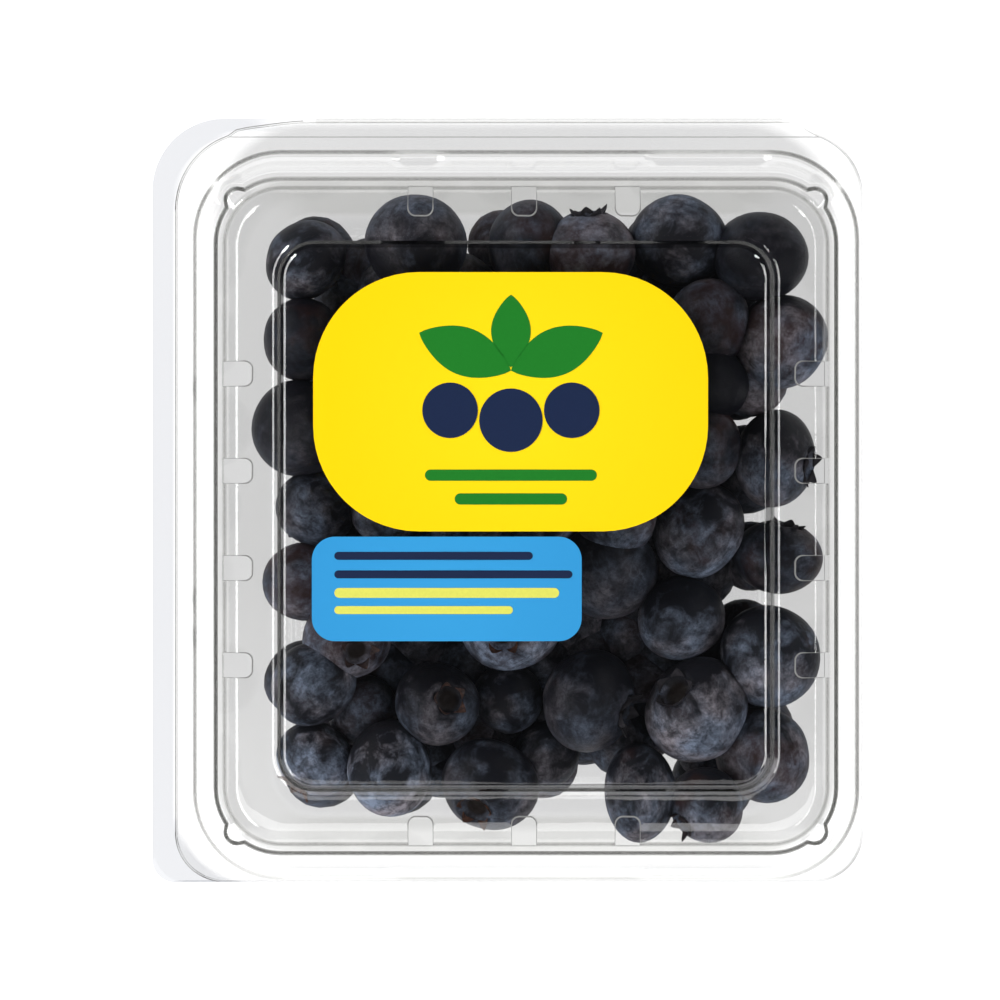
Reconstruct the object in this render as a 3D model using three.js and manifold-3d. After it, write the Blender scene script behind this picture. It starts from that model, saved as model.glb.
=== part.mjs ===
// A hinged clear punnet of blueberries, shut, with two plain stickers on its lid.
// Millimetres, +Z up, the hinge at the back (+Y), the origin under the middle of the whole.
import * as THREE from "three";
import { mergeVertices } from "three/addons/utils/BufferGeometryUtils.js";
import Module from "manifold-3d";

const wasm = await Module();
wasm.setup();

// Driving dimensions. Half sizes are measured from the middle of the lid's dome.
const WALL = 0.6; // thickness of the clear shells
const GAP = 0.3; // clearance between touching pieces
const CORNER_STEPS = 6; // facets in each rounded corner

const DOME_HALF_WIDTH = 47.35; // the dome's foot, outside
const DOME_HALF_LENGTH = 51.4;
const DOME_CORNER = 12;
const PANEL_CORNER = 7; // the raised panel's corners, and the least radius inside the dome
const FLANGE_LENGTH_GAIN = 1.1; // the flange grows a little faster along Y than along X

const BASE_FLANGE_Z = 25.6; // top of the tray's flange
const LID_FLANGE_Z = BASE_FLANGE_Z + GAP + WALL; // top of the lid's flange
const SHOULDER_Z = 33.6; // the flat step round the lid's raised panel
const PANEL_Z = 35.6; // the raised panel on the lid
const LABEL_THICKNESS = 0.3;

const BASE_FLANGE = { left: -57.0, right: 51.5, front: -55.9, back: 60.65 };
const BASE_FLANGE_CORNERS = { backRight: 9.5, backLeft: 11, frontLeft: 3.5, frontRight: 3.5 };
const LID_FLANGE = { left: -53.5, right: 51.4, front: -55.8, back: 58.7 };
const LID_FLANGE_CORNERS = { backRight: 10, backLeft: 12, frontLeft: 7.5, frontRight: 7.5 };
const HINGE_STRIP = { left: -45.3, right: 44.8, back: 60.5 }; // the lid's tongue that folds to the tray

// The tray's inside: plan half sizes and corner radius at the floor and at the rim.
const TRAY_FLOOR = { halfWidth: 39.9, halfLength: 46.9, corner: 7.5, z: 2.2 };
const TRAY_RIM = { halfWidth: 45.6, halfLength: 50.7, corner: 10.5, z: 24.0 };
const FOOT_WIDTH = 4.2; // the flat ring that the tray stands on
const FLOOR_EDGE = 1.6; // width of the rounded edge between that ring and the wall
const FLOOR_PANEL_RISE = 1.0; // the floor inside the ring is raised by this
const TRAY_LIP = 0.5; // the tray's wall reaches the flange this far inside the dome's foot

// Sections across the rim, as half widths at the foot and at the crown. The lid's hollow bead snaps over the ridge.
const RIM_MIDDLE = 2.2; // from the dome's foot outwards
const TRAY_RIDGE = { foot: 0.75, crown: 0.4, height: 1.3 };
const LID_BEAD = { foot: 1.6, crown: 1.0, height: 2.0 };
const LID_CHANNEL = { foot: 1.15, crown: 0.75, height: 1.7 }; // the bead's underside

// The lid's dome in section, from its panel to its foot: [offset from the foot, height].
const DOME_TOP = [
  [-11.1, PANEL_Z], // edge of the raised panel
  [-9.0, SHOULDER_Z], // the shoulder
  [-4.0, SHOULDER_Z],
  [-2.6, SHOULDER_Z - 0.5], // the rounded edge
  [-1.9, SHOULDER_Z - 1.8],
  [-0.3, LID_FLANGE_Z + 0.7], // the foot
  [0.3, LID_FLANGE_Z],
];
const DOME_UNDERSIDE = [
  [-11.5, PANEL_Z - WALL],
  [-9.4, SHOULDER_Z - WALL],
  [-4.2, SHOULDER_Z - WALL],
  [-3.1, SHOULDER_Z - 1.0],
  [-2.5, SHOULDER_Z - 2.0],
  [-0.95, LID_FLANGE_Z + 0.5],
  [-0.4, LID_FLANGE_Z - WALL],
];

const SIDE_VENTS = { count: 4, pitch: 14.73, middle: -0.5 }; // along Y, on the left and right
const END_VENTS = { count: 3, pitch: 15.7, middle: -0.3 }; // along X, at the back and front
const VENT_WIDTH = 3.8;
const VENT_REACH = 5.9; // from the dome's foot inwards
const VENT_DROP = 4.2; // below the shoulder

const MAIN_LABEL = { left: -32.2, right: 27.5, front: -2.3, back: 36.9, corner: 16 };
const SMALL_LABEL = { left: -32.4, right: 8.4, front: -18.9, back: -3.1, corner: 3.5 };

const HEAP_TOP = 29.7; // no berry stands higher
const FRUIT_CLEARANCE = 0.4; // between the berries and the tray
const CLOSE_PACKING = 0.94; // neighbours press into each other by this much
const LOWER_SPREAD = 0.97; // across the tray, the lower berries stand this much closer to the middle
const LOWER_RADIUS = 6.2;
const FILLERS = { count: 14, tries: 4000, halfWidth: 32, halfLength: 37, squeeze: 0.78 };
const CORE = { halfWidth: 34, halfLength: 40, bottom: 5.5, top: 18, corner: 7 };
const BERRY = {
  flatness: 0.92, // height against width
  pit: 0.8, // the crown's pit, as a share of the radius
  lowerMesh: { sides: 7, levels: 5 },
  upperMesh: { sides: 8, levels: 6 },
};

// Berries as [x, y, diameter] from the middle of the dome. The sunken ones lie between the layers.
const SUNKEN_BERRIES = [
  [-20.4, 34.2, 11.0], [-9.8, 34.8, 11.6], [34.5, 20.4, 11.0],
  [-2.7, -28.1, 10.8], [3.1, -36.8, 10.4], [14.6, -34.9, 10.2], [-25.0, -29.9, 10.6],
];
const UPPER_BERRIES = [
  [-33.4, 39.3, 12.2], [-16.9, 41.5, 15.4], [0.0, 41.4, 14.0], [9.8, 40.3, 14.0],
  [23.9, 42.0, 14.0], [36.3, 40.0, 13.8], [-33.7, 27.1, 12.6], [38.9, 26.8, 13.8],
  [-34.5, 13.4, 14.6], [39.2, 8.7, 13.8], [-32.0, 1.2, 11.6], [39.4, -6.4, 12.8],
  [-33.5, -10.1, 12.2], [-32.6, -25.6, 12.8], [37.4, -21.2, 15.0], [-31.4, -37.7, 11.8],
  [36.3, -36.6, 14.4], [-20.9, -38.6, 13.4], [-5.5, -40.7, 14.4], [16.5, -42.2, 12.6],
  [28.2, -43.5, 11.6], [-27.3, -18.6, 13.2], [-13.6, -28.7, 12.8], [9.5, -28.2, 15.4],
  [26.2, -29.7, 15.6], [-2.4, -16.2, 15.2], [23.8, -15.6, 13.2], [12.7, -8.5, 14.8],
  [26.5, -2.1, 14.2], [26.5, 10.8, 13.0], [27.9, 29.6, 13.2], [28.4, 20.6, 11.4],
];
// Berries that the stickers cover stand in rows.
const COVERED_ROWS = [
  { y: 27.0, first: -20.8, last: 16.0, count: 4 },
  { y: 14.2, first: -22.4, last: 14.6, count: 4 },
  { y: 1.6, first: -20.6, last: 14.0, count: 4 },
  { y: -9.4, first: -21.4, last: -6.2, count: 2 },
];
const COVERED_DIAMETER = 12.8;

const COLOURS = {
  clear: 0xeef1f2,
  fruit: 0x252838,
  yellow: 0xffe414,
  blue: 0x3e9ed9,
};

// ---- outlines and shells ----

// A rectangle with rounded corners as points, anticlockwise from the right end of the back edge.
function roundedOutline(box, corners) {
  const placed = [
    { r: corners.backRight, x: box.right, y: box.back, sx: 1, sy: 1, from: 0 },
    { r: corners.backLeft, x: box.left, y: box.back, sx: -1, sy: 1, from: 0.5 },
    { r: corners.frontLeft, x: box.left, y: box.front, sx: -1, sy: -1, from: 1 },
    { r: corners.frontRight, x: box.right, y: box.front, sx: 1, sy: -1, from: 1.5 },
  ];
  const points = [];
  for (const { r, x, y, sx, sy, from } of placed) {
    for (let step = 0; step <= CORNER_STEPS; step += 1) {
      const angle = Math.PI * (from + (0.5 * step) / CORNER_STEPS);
      points.push(new THREE.Vector2(x - sx * r + r * Math.cos(angle), y - sy * r + r * Math.sin(angle)));
    }
  }
  return points;
}

function ring(halfWidth, halfLength, corner, z) {
  const box = { left: -halfWidth, right: halfWidth, front: -halfLength, back: halfLength };
  const corners = { backRight: corner, backLeft: corner, frontLeft: corner, frontRight: corner };
  return { points: roundedOutline(box, corners), z };
}

// A ring that runs parallel to the dome's foot, outside it where offset is positive.
function domeRing(offset, z) {
  const gain = offset > 0 ? FLANGE_LENGTH_GAIN : 1;
  const corner = Math.max(DOME_CORNER + offset, PANEL_CORNER);
  return ring(DOME_HALF_WIDTH + offset, DOME_HALF_LENGTH + gain * offset, corner, z);
}

// A ring on the tray's wall at height z, grown outwards by offset.
function trayRing(z, offset, ringZ = z) {
  const share = (z - TRAY_FLOOR.z) / (TRAY_RIM.z - TRAY_FLOOR.z);
  const mix = (key) => TRAY_FLOOR[key] + share * (TRAY_RIM[key] - TRAY_FLOOR[key]);
  return ring(mix("halfWidth") + offset, mix("halfLength") + offset, mix("corner") + offset, ringZ);
}

// A closed surface through rings of equal point counts, with a flat cap on the first and the last.
function loft(rings) {
  const count = rings[0].points.length;
  const positions = [];
  for (const { points, z } of rings) {
    for (const point of points) positions.push(point.x, point.y, z);
  }
  const indices = [];
  for (let level = 0; level + 1 < rings.length; level += 1) {
    for (let i = 0; i < count; i += 1) {
      const a = level * count + i;
      const b = level * count + ((i + 1) % count);
      indices.push(a, b, b + count, a, b + count, a + count);
    }
  }
  for (const [level, turned] of [[0, true], [rings.length - 1, false]]) {
    const { points, z } = rings[level];
    const centre = positions.length / 3;
    const sum = points.reduce((total, point) => total.add(point), new THREE.Vector2());
    positions.push(sum.x / count, sum.y / count, z);
    for (let i = 0; i < count; i += 1) {
      const a = level * count + i;
      const b = level * count + ((i + 1) % count);
      indices.push(...(turned ? [centre, b, a] : [centre, a, b]));
    }
  }
  const geometry = new THREE.BufferGeometry();
  geometry.setAttribute("position", new THREE.Float32BufferAttribute(positions, 3));
  geometry.setIndex(indices);
  return geometry;
}

// ---- joining and cutting ----

function toSolid(geometry) {
  const bare = geometry.clone();
  for (const name of Object.keys(bare.attributes)) {
    if (name !== "position") bare.deleteAttribute(name);
  }
  const merged = mergeVertices(bare, 1e-5);
  const triVerts = new Uint32Array(merged.index.array);
  const vertProperties = new Float32Array(merged.attributes.position.array);
  return new wasm.Manifold(new wasm.Mesh({ numProp: 3, vertProperties, triVerts }));
}

function toGeometry(solid) {
  const mesh = solid.getMesh();
  const geometry = new THREE.BufferGeometry();
  geometry.setAttribute("position", new THREE.Float32BufferAttribute(mesh.vertProperties, 3));
  geometry.setIndex(Array.from(mesh.triVerts));
  geometry.computeVertexNormals();
  return geometry;
}

// The one body worth keeping: sealed hollows and loose scraps go.
function largestBody(solid) {
  const bodies = solid.decompose();
  return bodies.reduce((best, body) => (body.volume() > best.volume() ? body : best));
}

// ---- the tray ----

// A raised trapezium that runs round the dome, from its outer foot to its inner foot.
function rimRings({ foot, crown, height }, base) {
  return [
    domeRing(RIM_MIDDLE + foot, base),
    domeRing(RIM_MIDDLE + crown, base + height),
    domeRing(RIM_MIDDLE - crown, base + height),
    domeRing(RIM_MIDDLE - foot, base),
  ];
}

function trayGeometry() {
  const flangeUnder = BASE_FLANGE_Z - WALL;
  const floorRing = (offset, z) => trayRing(TRAY_FLOOR.z, offset, z);
  const flange = roundedOutline(BASE_FLANGE, BASE_FLANGE_CORNERS);
  const outside = [
    floorRing(-FOOT_WIDTH - 0.8, FLOOR_PANEL_RISE),
    floorRing(-FOOT_WIDTH, 0),
    floorRing(WALL - FLOOR_EDGE, 0),
    floorRing(WALL - 0.25 * FLOOR_EDGE, WALL),
    floorRing(WALL, TRAY_FLOOR.z - 0.4),
    trayRing(TRAY_RIM.z, WALL),
    domeRing(-TRAY_LIP, flangeUnder),
    { points: flange, z: flangeUnder },
  ];
  const inside = [
    { points: flange, z: BASE_FLANGE_Z },
    ...rimRings(TRAY_RIDGE, BASE_FLANGE_Z),
    domeRing(0.1 - TRAY_LIP, BASE_FLANGE_Z),
    trayRing(TRAY_RIM.z, 0, TRAY_RIM.z + WALL),
    trayRing(TRAY_FLOOR.z, 0),
    floorRing(-0.5, WALL + 0.5),
    floorRing(-FLOOR_EDGE, WALL),
    floorRing(-FOOT_WIDTH + 0.4, WALL),
    floorRing(-FOOT_WIDTH - 0.4, FLOOR_PANEL_RISE + WALL),
  ];
  return loft([...outside, ...inside]);
}

// ---- the lid ----

// A vent slot's cutter: from outside the dome's foot at (x, y) inwards, along X or along Y.
function ventCutter(x, y, alongX) {
  const half = VENT_WIDTH / 2;
  const shape = new THREE.Shape();
  shape.moveTo(-1, -half);
  shape.lineTo(VENT_REACH - half, -half);
  shape.absarc(VENT_REACH - half, 0, half, -Math.PI / 2, Math.PI / 2, false);
  shape.lineTo(-1, half);
  shape.closePath();
  const cutter = new THREE.ExtrudeGeometry(shape, {
    depth: VENT_DROP + 2 * WALL,
    bevelEnabled: false,
    curveSegments: 6,
  });
  const turn = alongX ? (x > 0 ? Math.PI : 0) : y > 0 ? -Math.PI / 2 : Math.PI / 2;
  cutter.rotateZ(turn);
  cutter.translate(x, y, SHOULDER_Z - VENT_DROP);
  return toSolid(cutter);
}

function ventCutters() {
  const cutters = [];
  for (let i = 0; i < SIDE_VENTS.count; i += 1) {
    const y = SIDE_VENTS.middle + (i - (SIDE_VENTS.count - 1) / 2) * SIDE_VENTS.pitch;
    for (const side of [-1, 1]) cutters.push(ventCutter(side * DOME_HALF_WIDTH, y, true));
  }
  for (let i = 0; i < END_VENTS.count; i += 1) {
    const x = END_VENTS.middle + (i - (END_VENTS.count - 1) / 2) * END_VENTS.pitch;
    for (const side of [-1, 1]) cutters.push(ventCutter(x, side * DOME_HALF_LENGTH, false));
  }
  return cutters;
}

function hingeStrip() {
  const front = LID_FLANGE.back - 1.5;
  const strip = new THREE.BoxGeometry(HINGE_STRIP.right - HINGE_STRIP.left, HINGE_STRIP.back - front, WALL);
  strip.translate(
    (HINGE_STRIP.left + HINGE_STRIP.right) / 2,
    (HINGE_STRIP.back + front) / 2,
    LID_FLANGE_Z - WALL / 2,
  );
  return toSolid(strip);
}

function lidGeometry() {
  const under = LID_FLANGE_Z - WALL;
  const flange = roundedOutline(LID_FLANGE, LID_FLANGE_CORNERS);
  const underside = [
    ...DOME_UNDERSIDE.map(([offset, z]) => domeRing(offset, z)),
    ...rimRings(LID_CHANNEL, under).reverse(),
    { points: flange, z: under },
  ];
  const topside = [
    { points: flange, z: LID_FLANGE_Z },
    ...rimRings(LID_BEAD, LID_FLANGE_Z),
    ...DOME_TOP.map(([offset, z]) => domeRing(offset, z)).reverse(),
  ];
  const shell = toSolid(loft([...underside, ...topside]));
  const cut = ventCutters().reduce((solid, cutter) => solid.subtract(cutter), shell);
  return toGeometry(cut.add(hingeStrip()));
}

// ---- the stickers ----

function labelGeometry({ left, right, front, back, corner }) {
  const corners = { backRight: corner, backLeft: corner, frontLeft: corner, frontRight: corner };
  const shape = new THREE.Shape(roundedOutline({ left, right, front, back }, corners));
  return new THREE.ExtrudeGeometry(shape, { depth: LABEL_THICKNESS, bevelEnabled: false });
}

// ---- the berries ----

// Repeatable draws between 0 and 1.
function seededDraws(seed) {
  let state = seed;
  return () => {
    state = (state * 16807) % 2147483647;
    return state / 2147483647;
  };
}

// Moves a berry sideways until it is clear of the tray's walls at its own height.
function keepInTray(berry) {
  const share = (berry.z - TRAY_FLOOR.z) / (TRAY_RIM.z - TRAY_FLOOR.z);
  const mix = (key) => TRAY_FLOOR[key] + share * (TRAY_RIM[key] - TRAY_FLOOR[key]);
  const reachX = mix("halfWidth") - berry.r - FRUIT_CLEARANCE;
  const reachY = mix("halfLength") - berry.r - FRUIT_CLEARANCE;
  berry.x = Math.max(-reachX, Math.min(reachX, berry.x));
  berry.y = Math.max(-reachY, Math.min(reachY, berry.y));
  const bend = Math.max(mix("corner") - berry.r - FRUIT_CLEARANCE, 0);
  const overX = Math.abs(berry.x) - (reachX - bend);
  const overY = Math.abs(berry.y) - (reachY - bend);
  const over = Math.sqrt(overX * overX + overY * overY);
  if (overX > 0 && overY > 0 && over > bend) {
    berry.x -= Math.sign(berry.x) * overX * (1 - bend / over);
    berry.y -= Math.sign(berry.y) * overY * (1 - bend / over);
  }
}

// The height at which a berry comes to rest on the floor and on the berries already there.
function restingHeight(berry, placed, floor) {
  let z = floor + berry.r;
  for (const other of placed) {
    const reach = CLOSE_PACKING * (berry.r + other.r);
    const apart = (berry.x - other.x) ** 2 + (berry.y - other.y) ** 2;
    if (apart < reach * reach) z = Math.max(z, other.z + Math.sqrt(reach * reach - apart));
  }
  return Math.min(z, HEAP_TOP - berry.r);
}

// Pushes the berries of one layer apart until they only touch.
function spreadLayer(layer) {
  const rounds = 80;
  for (let round = 0; round < rounds; round += 1) {
    for (let i = 0; i < layer.length; i += 1) {
      for (let j = i + 1; j < layer.length; j += 1) {
        const dx = layer[j].x - layer[i].x;
        const dy = layer[j].y - layer[i].y;
        const apart = Math.sqrt(dx * dx + dy * dy);
        const wanted = CLOSE_PACKING * (layer[i].r + layer[j].r);
        if (apart < wanted && apart > 0) {
          const push = (0.5 * (wanted - apart)) / apart;
          layer[i].x -= dx * push;
          layer[i].y -= dy * push;
          layer[j].x += dx * push;
          layer[j].y += dy * push;
        }
      }
    }
    layer.forEach(keepInTray);
  }
}

function upperBerries() {
  const upper = UPPER_BERRIES.map(([x, y, diameter]) => ({ x, y, r: diameter / 2 }));
  for (const { y, first, last, count } of COVERED_ROWS) {
    for (let i = 0; i < count; i += 1) {
      const x = first + (i * (last - first)) / (count - 1);
      upper.push({ x, y: y + (i % 2 ? -1.2 : 0), r: COVERED_DIAMETER / 2 });
    }
  }
  return upper;
}

// The lower layer: a berry under each upper one, and more where there is room between them.
function lowerBerries(upper, floor) {
  const draw = seededDraws(20260611); // sizes and fillers' places
  const lower = upper.map(({ x, y }) => {
    const r = LOWER_RADIUS * (0.92 + 0.16 * draw());
    return { x: LOWER_SPREAD * x, y, z: floor + r, r };
  });
  spreadLayer(lower);
  const wanted = lower.length + FILLERS.count;
  for (let attempt = 0; attempt < FILLERS.tries && lower.length < wanted; attempt += 1) {
    const r = LOWER_RADIUS * (0.86 + 0.1 * draw());
    const x = (2 * draw() - 1) * FILLERS.halfWidth;
    const y = (2 * draw() - 1) * FILLERS.halfLength;
    const clear = lower.every((other) => {
      const apart = (x - other.x) ** 2 + (y - other.y) ** 2;
      return apart > (FILLERS.squeeze * (r + other.r)) ** 2;
    });
    if (clear) lower.push({ x, y, z: floor + r, r });
  }
  spreadLayer(lower);
  return lower;
}

function berryPlaces() {
  const floor = FLOOR_PANEL_RISE + WALL + FRUIT_CLEARANCE;
  const upper = upperBerries();
  const lower = lowerBerries(upper, floor);
  const placed = [...lower];
  const sunken = SUNKEN_BERRIES.map(([x, y, diameter]) => ({ x, y, r: diameter / 2 }));
  for (const berry of [...sunken, ...upper]) {
    berry.z = restingHeight(berry, placed, floor);
    keepInTray(berry);
    placed.push(berry);
  }
  return { places: placed, lowerCount: lower.length };
}

// A plump berry, a little flat along its crown's axis, with a shallow pit at the crown.
function berrySolid({ x, y, z, r }, crown, { sides, levels }) {
  const geometry = new THREE.SphereGeometry(r, sides, levels);
  const position = geometry.attributes.position;
  for (let i = 0; i < position.count; i += 1) {
    if (position.getY(i) > 0.999 * r) position.setY(i, BERRY.pit * r);
  }
  geometry.scale(1, BERRY.flatness, 1);
  geometry.applyQuaternion(new THREE.Quaternion().setFromUnitVectors(new THREE.Vector3(0, 1, 0), crown));
  geometry.translate(x, y, z);
  return toSolid(geometry);
}

function heapGeometry() {
  const draw = seededDraws(77); // the crowns' directions
  const { places, lowerCount } = berryPlaces();
  const coreRings = [CORE.bottom, CORE.top].map((z) => ring(CORE.halfWidth, CORE.halfLength, CORE.corner, z));
  let heap = toSolid(loft(coreRings));
  places.forEach((berry, index) => {
    const crown = new THREE.Vector3(draw() - 0.5, draw() - 0.5, draw() - 0.4).normalize();
    heap = heap.add(berrySolid(berry, crown, index < lowerCount ? BERRY.lowerMesh : BERRY.upperMesh));
  });
  return toGeometry(largestBody(heap));
}

// ---- the whole ----

function named(name, geometry, material) {
  const mesh = new THREE.Mesh(geometry, material);
  mesh.name = name;
  return mesh;
}

const clearPlastic = () => new THREE.MeshStandardMaterial({
  color: COLOURS.clear, roughness: 0.06, metalness: 0, transparent: true, opacity: 0.3,
});
const printed = (color) => new THREE.MeshStandardMaterial({ color, roughness: 0.38, metalness: 0 });
const fruit = new THREE.MeshStandardMaterial({ color: COLOURS.fruit, roughness: 0.55, metalness: 0 });

const punnet = new THREE.Group();
punnet.add(named("tray", trayGeometry(), clearPlastic()));
punnet.add(named("berries", heapGeometry(), fruit));

const lid = new THREE.Group();
lid.add(named("lid", lidGeometry(), clearPlastic()));
const labels = new THREE.Group();
labels.position.z = PANEL_Z + GAP;
labels.add(named("label_main", labelGeometry(MAIN_LABEL), printed(COLOURS.yellow)));
labels.add(named("label_small", labelGeometry(SMALL_LABEL), printed(COLOURS.blue)));
lid.add(labels);
punnet.add(lid);

punnet.position.set(
  -(BASE_FLANGE.left + BASE_FLANGE.right) / 2,
  -(BASE_FLANGE.front + BASE_FLANGE.back) / 2,
  0,
);
const model = new THREE.Group();
model.add(punnet);

export default model;
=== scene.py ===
"""A shut clear punnet of blueberries: the looks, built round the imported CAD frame.

Lengths in this file are millimetres, measured from the middle of the lid's dome with +X right, +Y back to
the hinge and +Z up, unless a name says otherwise. row() turns them into the frame's metres.
"""

import math
from itertools import combinations

import bpy
import numpy as np
from mathutils import Matrix, Vector


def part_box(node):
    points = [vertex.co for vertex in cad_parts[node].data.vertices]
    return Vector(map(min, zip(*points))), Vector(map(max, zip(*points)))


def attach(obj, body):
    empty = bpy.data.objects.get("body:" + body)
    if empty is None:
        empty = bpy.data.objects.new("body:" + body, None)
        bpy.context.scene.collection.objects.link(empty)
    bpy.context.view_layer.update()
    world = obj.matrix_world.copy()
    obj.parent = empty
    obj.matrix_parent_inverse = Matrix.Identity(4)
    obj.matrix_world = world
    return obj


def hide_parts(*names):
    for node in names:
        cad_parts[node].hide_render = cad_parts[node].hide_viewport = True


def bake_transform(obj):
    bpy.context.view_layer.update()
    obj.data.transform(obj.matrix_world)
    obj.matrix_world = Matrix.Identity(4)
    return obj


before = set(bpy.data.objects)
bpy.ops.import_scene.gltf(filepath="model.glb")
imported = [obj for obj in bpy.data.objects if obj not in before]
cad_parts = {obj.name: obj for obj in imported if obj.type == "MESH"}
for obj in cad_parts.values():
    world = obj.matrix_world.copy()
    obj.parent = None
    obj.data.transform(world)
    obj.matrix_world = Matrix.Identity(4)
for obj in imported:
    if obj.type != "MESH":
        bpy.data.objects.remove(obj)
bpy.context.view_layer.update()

MM = 0.001

# ---- driving dimensions ----
SHELL = 0.35  # thickness of the tray's clear sheet
LID_SHELL = 0.24  # the lid's, which is drawn thinner
SHARP = 35.0  # bends sharper than this look creased, in degrees
LID_SHARP = 25.0  # the same for the lid
SMALL_SHARP = 80.0  # and for berries, print and fine edges
CORNER_STEPS = 22  # points round each corner of an outline, closest together in its middle
SIDE_STEPS = 66  # points along each side of an outline
EASE_STEPS = 5  # points over a rounded corner of a section
LONGEST_STEP = 1.3  # between the points along a section

DOME_HALF_WIDTH = 47.35  # at the dome's foot
DOME_HALF_LENGTH = 51.4
DOME_CORNER = 10.0
PANEL_CORNER = 5.5  # of the step round the raised panel, halfway up it
STEP_OUT = -8.85  # the step's foot and its top edge, from the dome's foot
STEP_IN = -10.95
STEP_RIGHT_IN = 0.3  # how much further in the step's top edge lies on the right
BEAD_MIDDLE = 2.2  # the snap bead's crown, from the dome's foot outwards
LENGTH_GAIN = {"front": 1.2, "back": 1.45}  # outside the dome, outlines grow faster along Y

TRAY_FLANGE_Z = 25.6
LID_FLANGE_Z = 26.25
SHOULDER_Z = 33.6
PANEL_Z = 35.6
FLANGE_LIP = 0.45  # how far the lid's flange droops at its edge
TRAY_FLANGE = {"left": -57.0, "right": 51.5, "front": -55.9, "back": 60.65}
TRAY_FLANGE_CORNERS = (9.5, 11.0, 3.5, 3.5)  # back right, back left, front left, front right
LID_FLANGE = {"left": -53.5, "right": 51.4, "front": -55.8, "back": 58.7}
LID_FLANGE_CORNERS = (10.0, 12.0, 7.5, 7.5)
TONGUE = {"left": -45.3, "full_left": -33.0, "full_right": 40.0, "right": 44.8, "notch": 0.5, "back": 60.3}
HINGE_CREASE = 57.8  # a fine ridge along the tongue, in front of the fold
TRAY_FLOOR = {"half_width": 39.9, "half_length": 46.9, "corner": 7.5, "z": 2.2}
TRAY_RIM = {"half_width": 46.9, "half_length": 51.0, "corner": 10.6, "z": 24.0}
FLOOR_PANEL_TOP = 1.9
# The bare strip of the tray's flange is tinted with painted shade, which clears where the lid covers it.
STRIP_FADE = 0.4  # width over which the tray's flange clears where the lid covers it
STRIP_ENDS = (-42.0, -36.0)  # X between which the flange strip at the left fades away

SIDE_VENTS = {"count": 4, "pitch": 14.73, "middle": -0.5}
END_VENTS = {"count": 3, "pitch": 15.7, "middle": -0.3}
VENT = {"width": 3.8, "reach": 5.9, "corner": 1.2, "foot": 1.3, "drop": 3.3}  # reach and foot run inwards
VENTS_RIGHT_IN = 0.7  # how much further in the vents on the right lie
VENT_RIM = (0.05, 0.125)  # radius of the rolled edge along a vent's sides and at its inner end
CREASE_RADIUS = 0.06  # of the hinge crease
# The lid's cut edge shows left of X and beyond Y of these corners, as a line of that radius.
CUT_EDGES = {"back": (-33.0, 46.0, 0.065), "front": (-46.5, -47.5, 0.055)}

MAIN_LABEL = {"left": -32.2, "right": 27.5, "front": -2.3, "back": 36.9, "corner": 16.0}
SMALL_LABEL = {"left": -32.4, "right": 8.4, "front": -18.9, "back": -3.1, "corner": 3.5}

# The dome's middle in the row frame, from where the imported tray's flange lies.
tray_low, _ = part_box("tray")
SHIFT = np.array([tray_low.x / MM - TRAY_FLANGE["left"], tray_low.y / MM - TRAY_FLANGE["front"], 0.0])


def row(points):
    """Points in this file's millimetres as metres in the row frame."""
    return (np.asarray(points, float) + SHIFT) * MM


def seeded_draws(seed):
    """Repeatable draws between 0 and 1."""
    state = seed
    while True:
        state = (state * 16807) % 2147483647
        yield state / 2147483647


# ---- outlines, sections and shells ----


def smooth_step(t):
    """0 up to t = 0 and 1 from t = 1 on, smooth at both ends."""
    t = np.clip(t, 0, 1)
    return t * t * (3 - 2 * t)


def hump(distance, reach):
    """1 at no distance and 0 from reach on."""
    return smooth_step(1 - distance / reach)


def set_down(outline, x, y, turn):
    """An outline turned about its origin and moved to (x, y)."""
    spin = np.array([[math.cos(turn), math.sin(turn)], [-math.sin(turn), math.cos(turn)]])
    return np.asarray(outline) @ spin + (x, y)


def rounded_outline(box, corners):
    """A rounded rectangle, anticlockwise from the right end of its back edge. Corners are one or four."""
    share = np.linspace(0, 1, CORNER_STEPS + 1)
    share = share + 0.1 * np.sin(2 * math.pi * share)
    arcs = []
    for quarter, radius in enumerate(np.broadcast_to(corners, 4)):
        sx = 1 if quarter in (0, 3) else -1
        sy = 1 if quarter < 2 else -1
        x = box["right" if sx > 0 else "left"] - sx * radius
        y = box["back" if sy > 0 else "front"] - sy * radius
        angles = math.pi / 2 * (quarter + share)
        arcs.append(np.stack([x + radius * np.cos(angles), y + radius * np.sin(angles)], 1))
    along = np.linspace(0, 1, SIDE_STEPS + 1)[1:-1, None]
    points = []
    for arc, following in zip(arcs, arcs[1:] + arcs[:1]):
        points += [arc, arc[-1] * (1 - along) + following[0] * along]
    return np.concatenate(points)


def at_height(outline, z):
    return np.column_stack([outline, np.full(len(outline), float(z))])


def dome_ring(offset, z):
    """A ring that runs parallel to the dome's foot, outside it where offset is positive."""
    grown = max(offset, 0.0)
    shrunk = min(offset, 0.0)
    box = {
        "left": -DOME_HALF_WIDTH - offset,
        "right": DOME_HALF_WIDTH + offset - (STEP_RIGHT_IN if offset < -10.0 else 0.0),
        "front": -DOME_HALF_LENGTH - shrunk - LENGTH_GAIN["front"] * grown,
        "back": DOME_HALF_LENGTH + offset + (LENGTH_GAIN["back"] - 1) * min(grown, BEAD_MIDDLE),
    }
    on_step = PANEL_CORNER + offset - (STEP_OUT + STEP_IN) / 2
    corner = on_step if offset <= STEP_OUT else DOME_CORNER + grown + 0.85 * shrunk
    return at_height(rounded_outline(box, corner), z)


def tray_inside(z):
    """Half width, half length and corner of the tray's wall at height z."""
    share = (z - TRAY_FLOOR["z"]) / (TRAY_RIM["z"] - TRAY_FLOOR["z"])
    keys = ("half_width", "half_length", "corner")
    return [TRAY_FLOOR[key] + share * (TRAY_RIM[key] - TRAY_FLOOR[key]) for key in keys]


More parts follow.
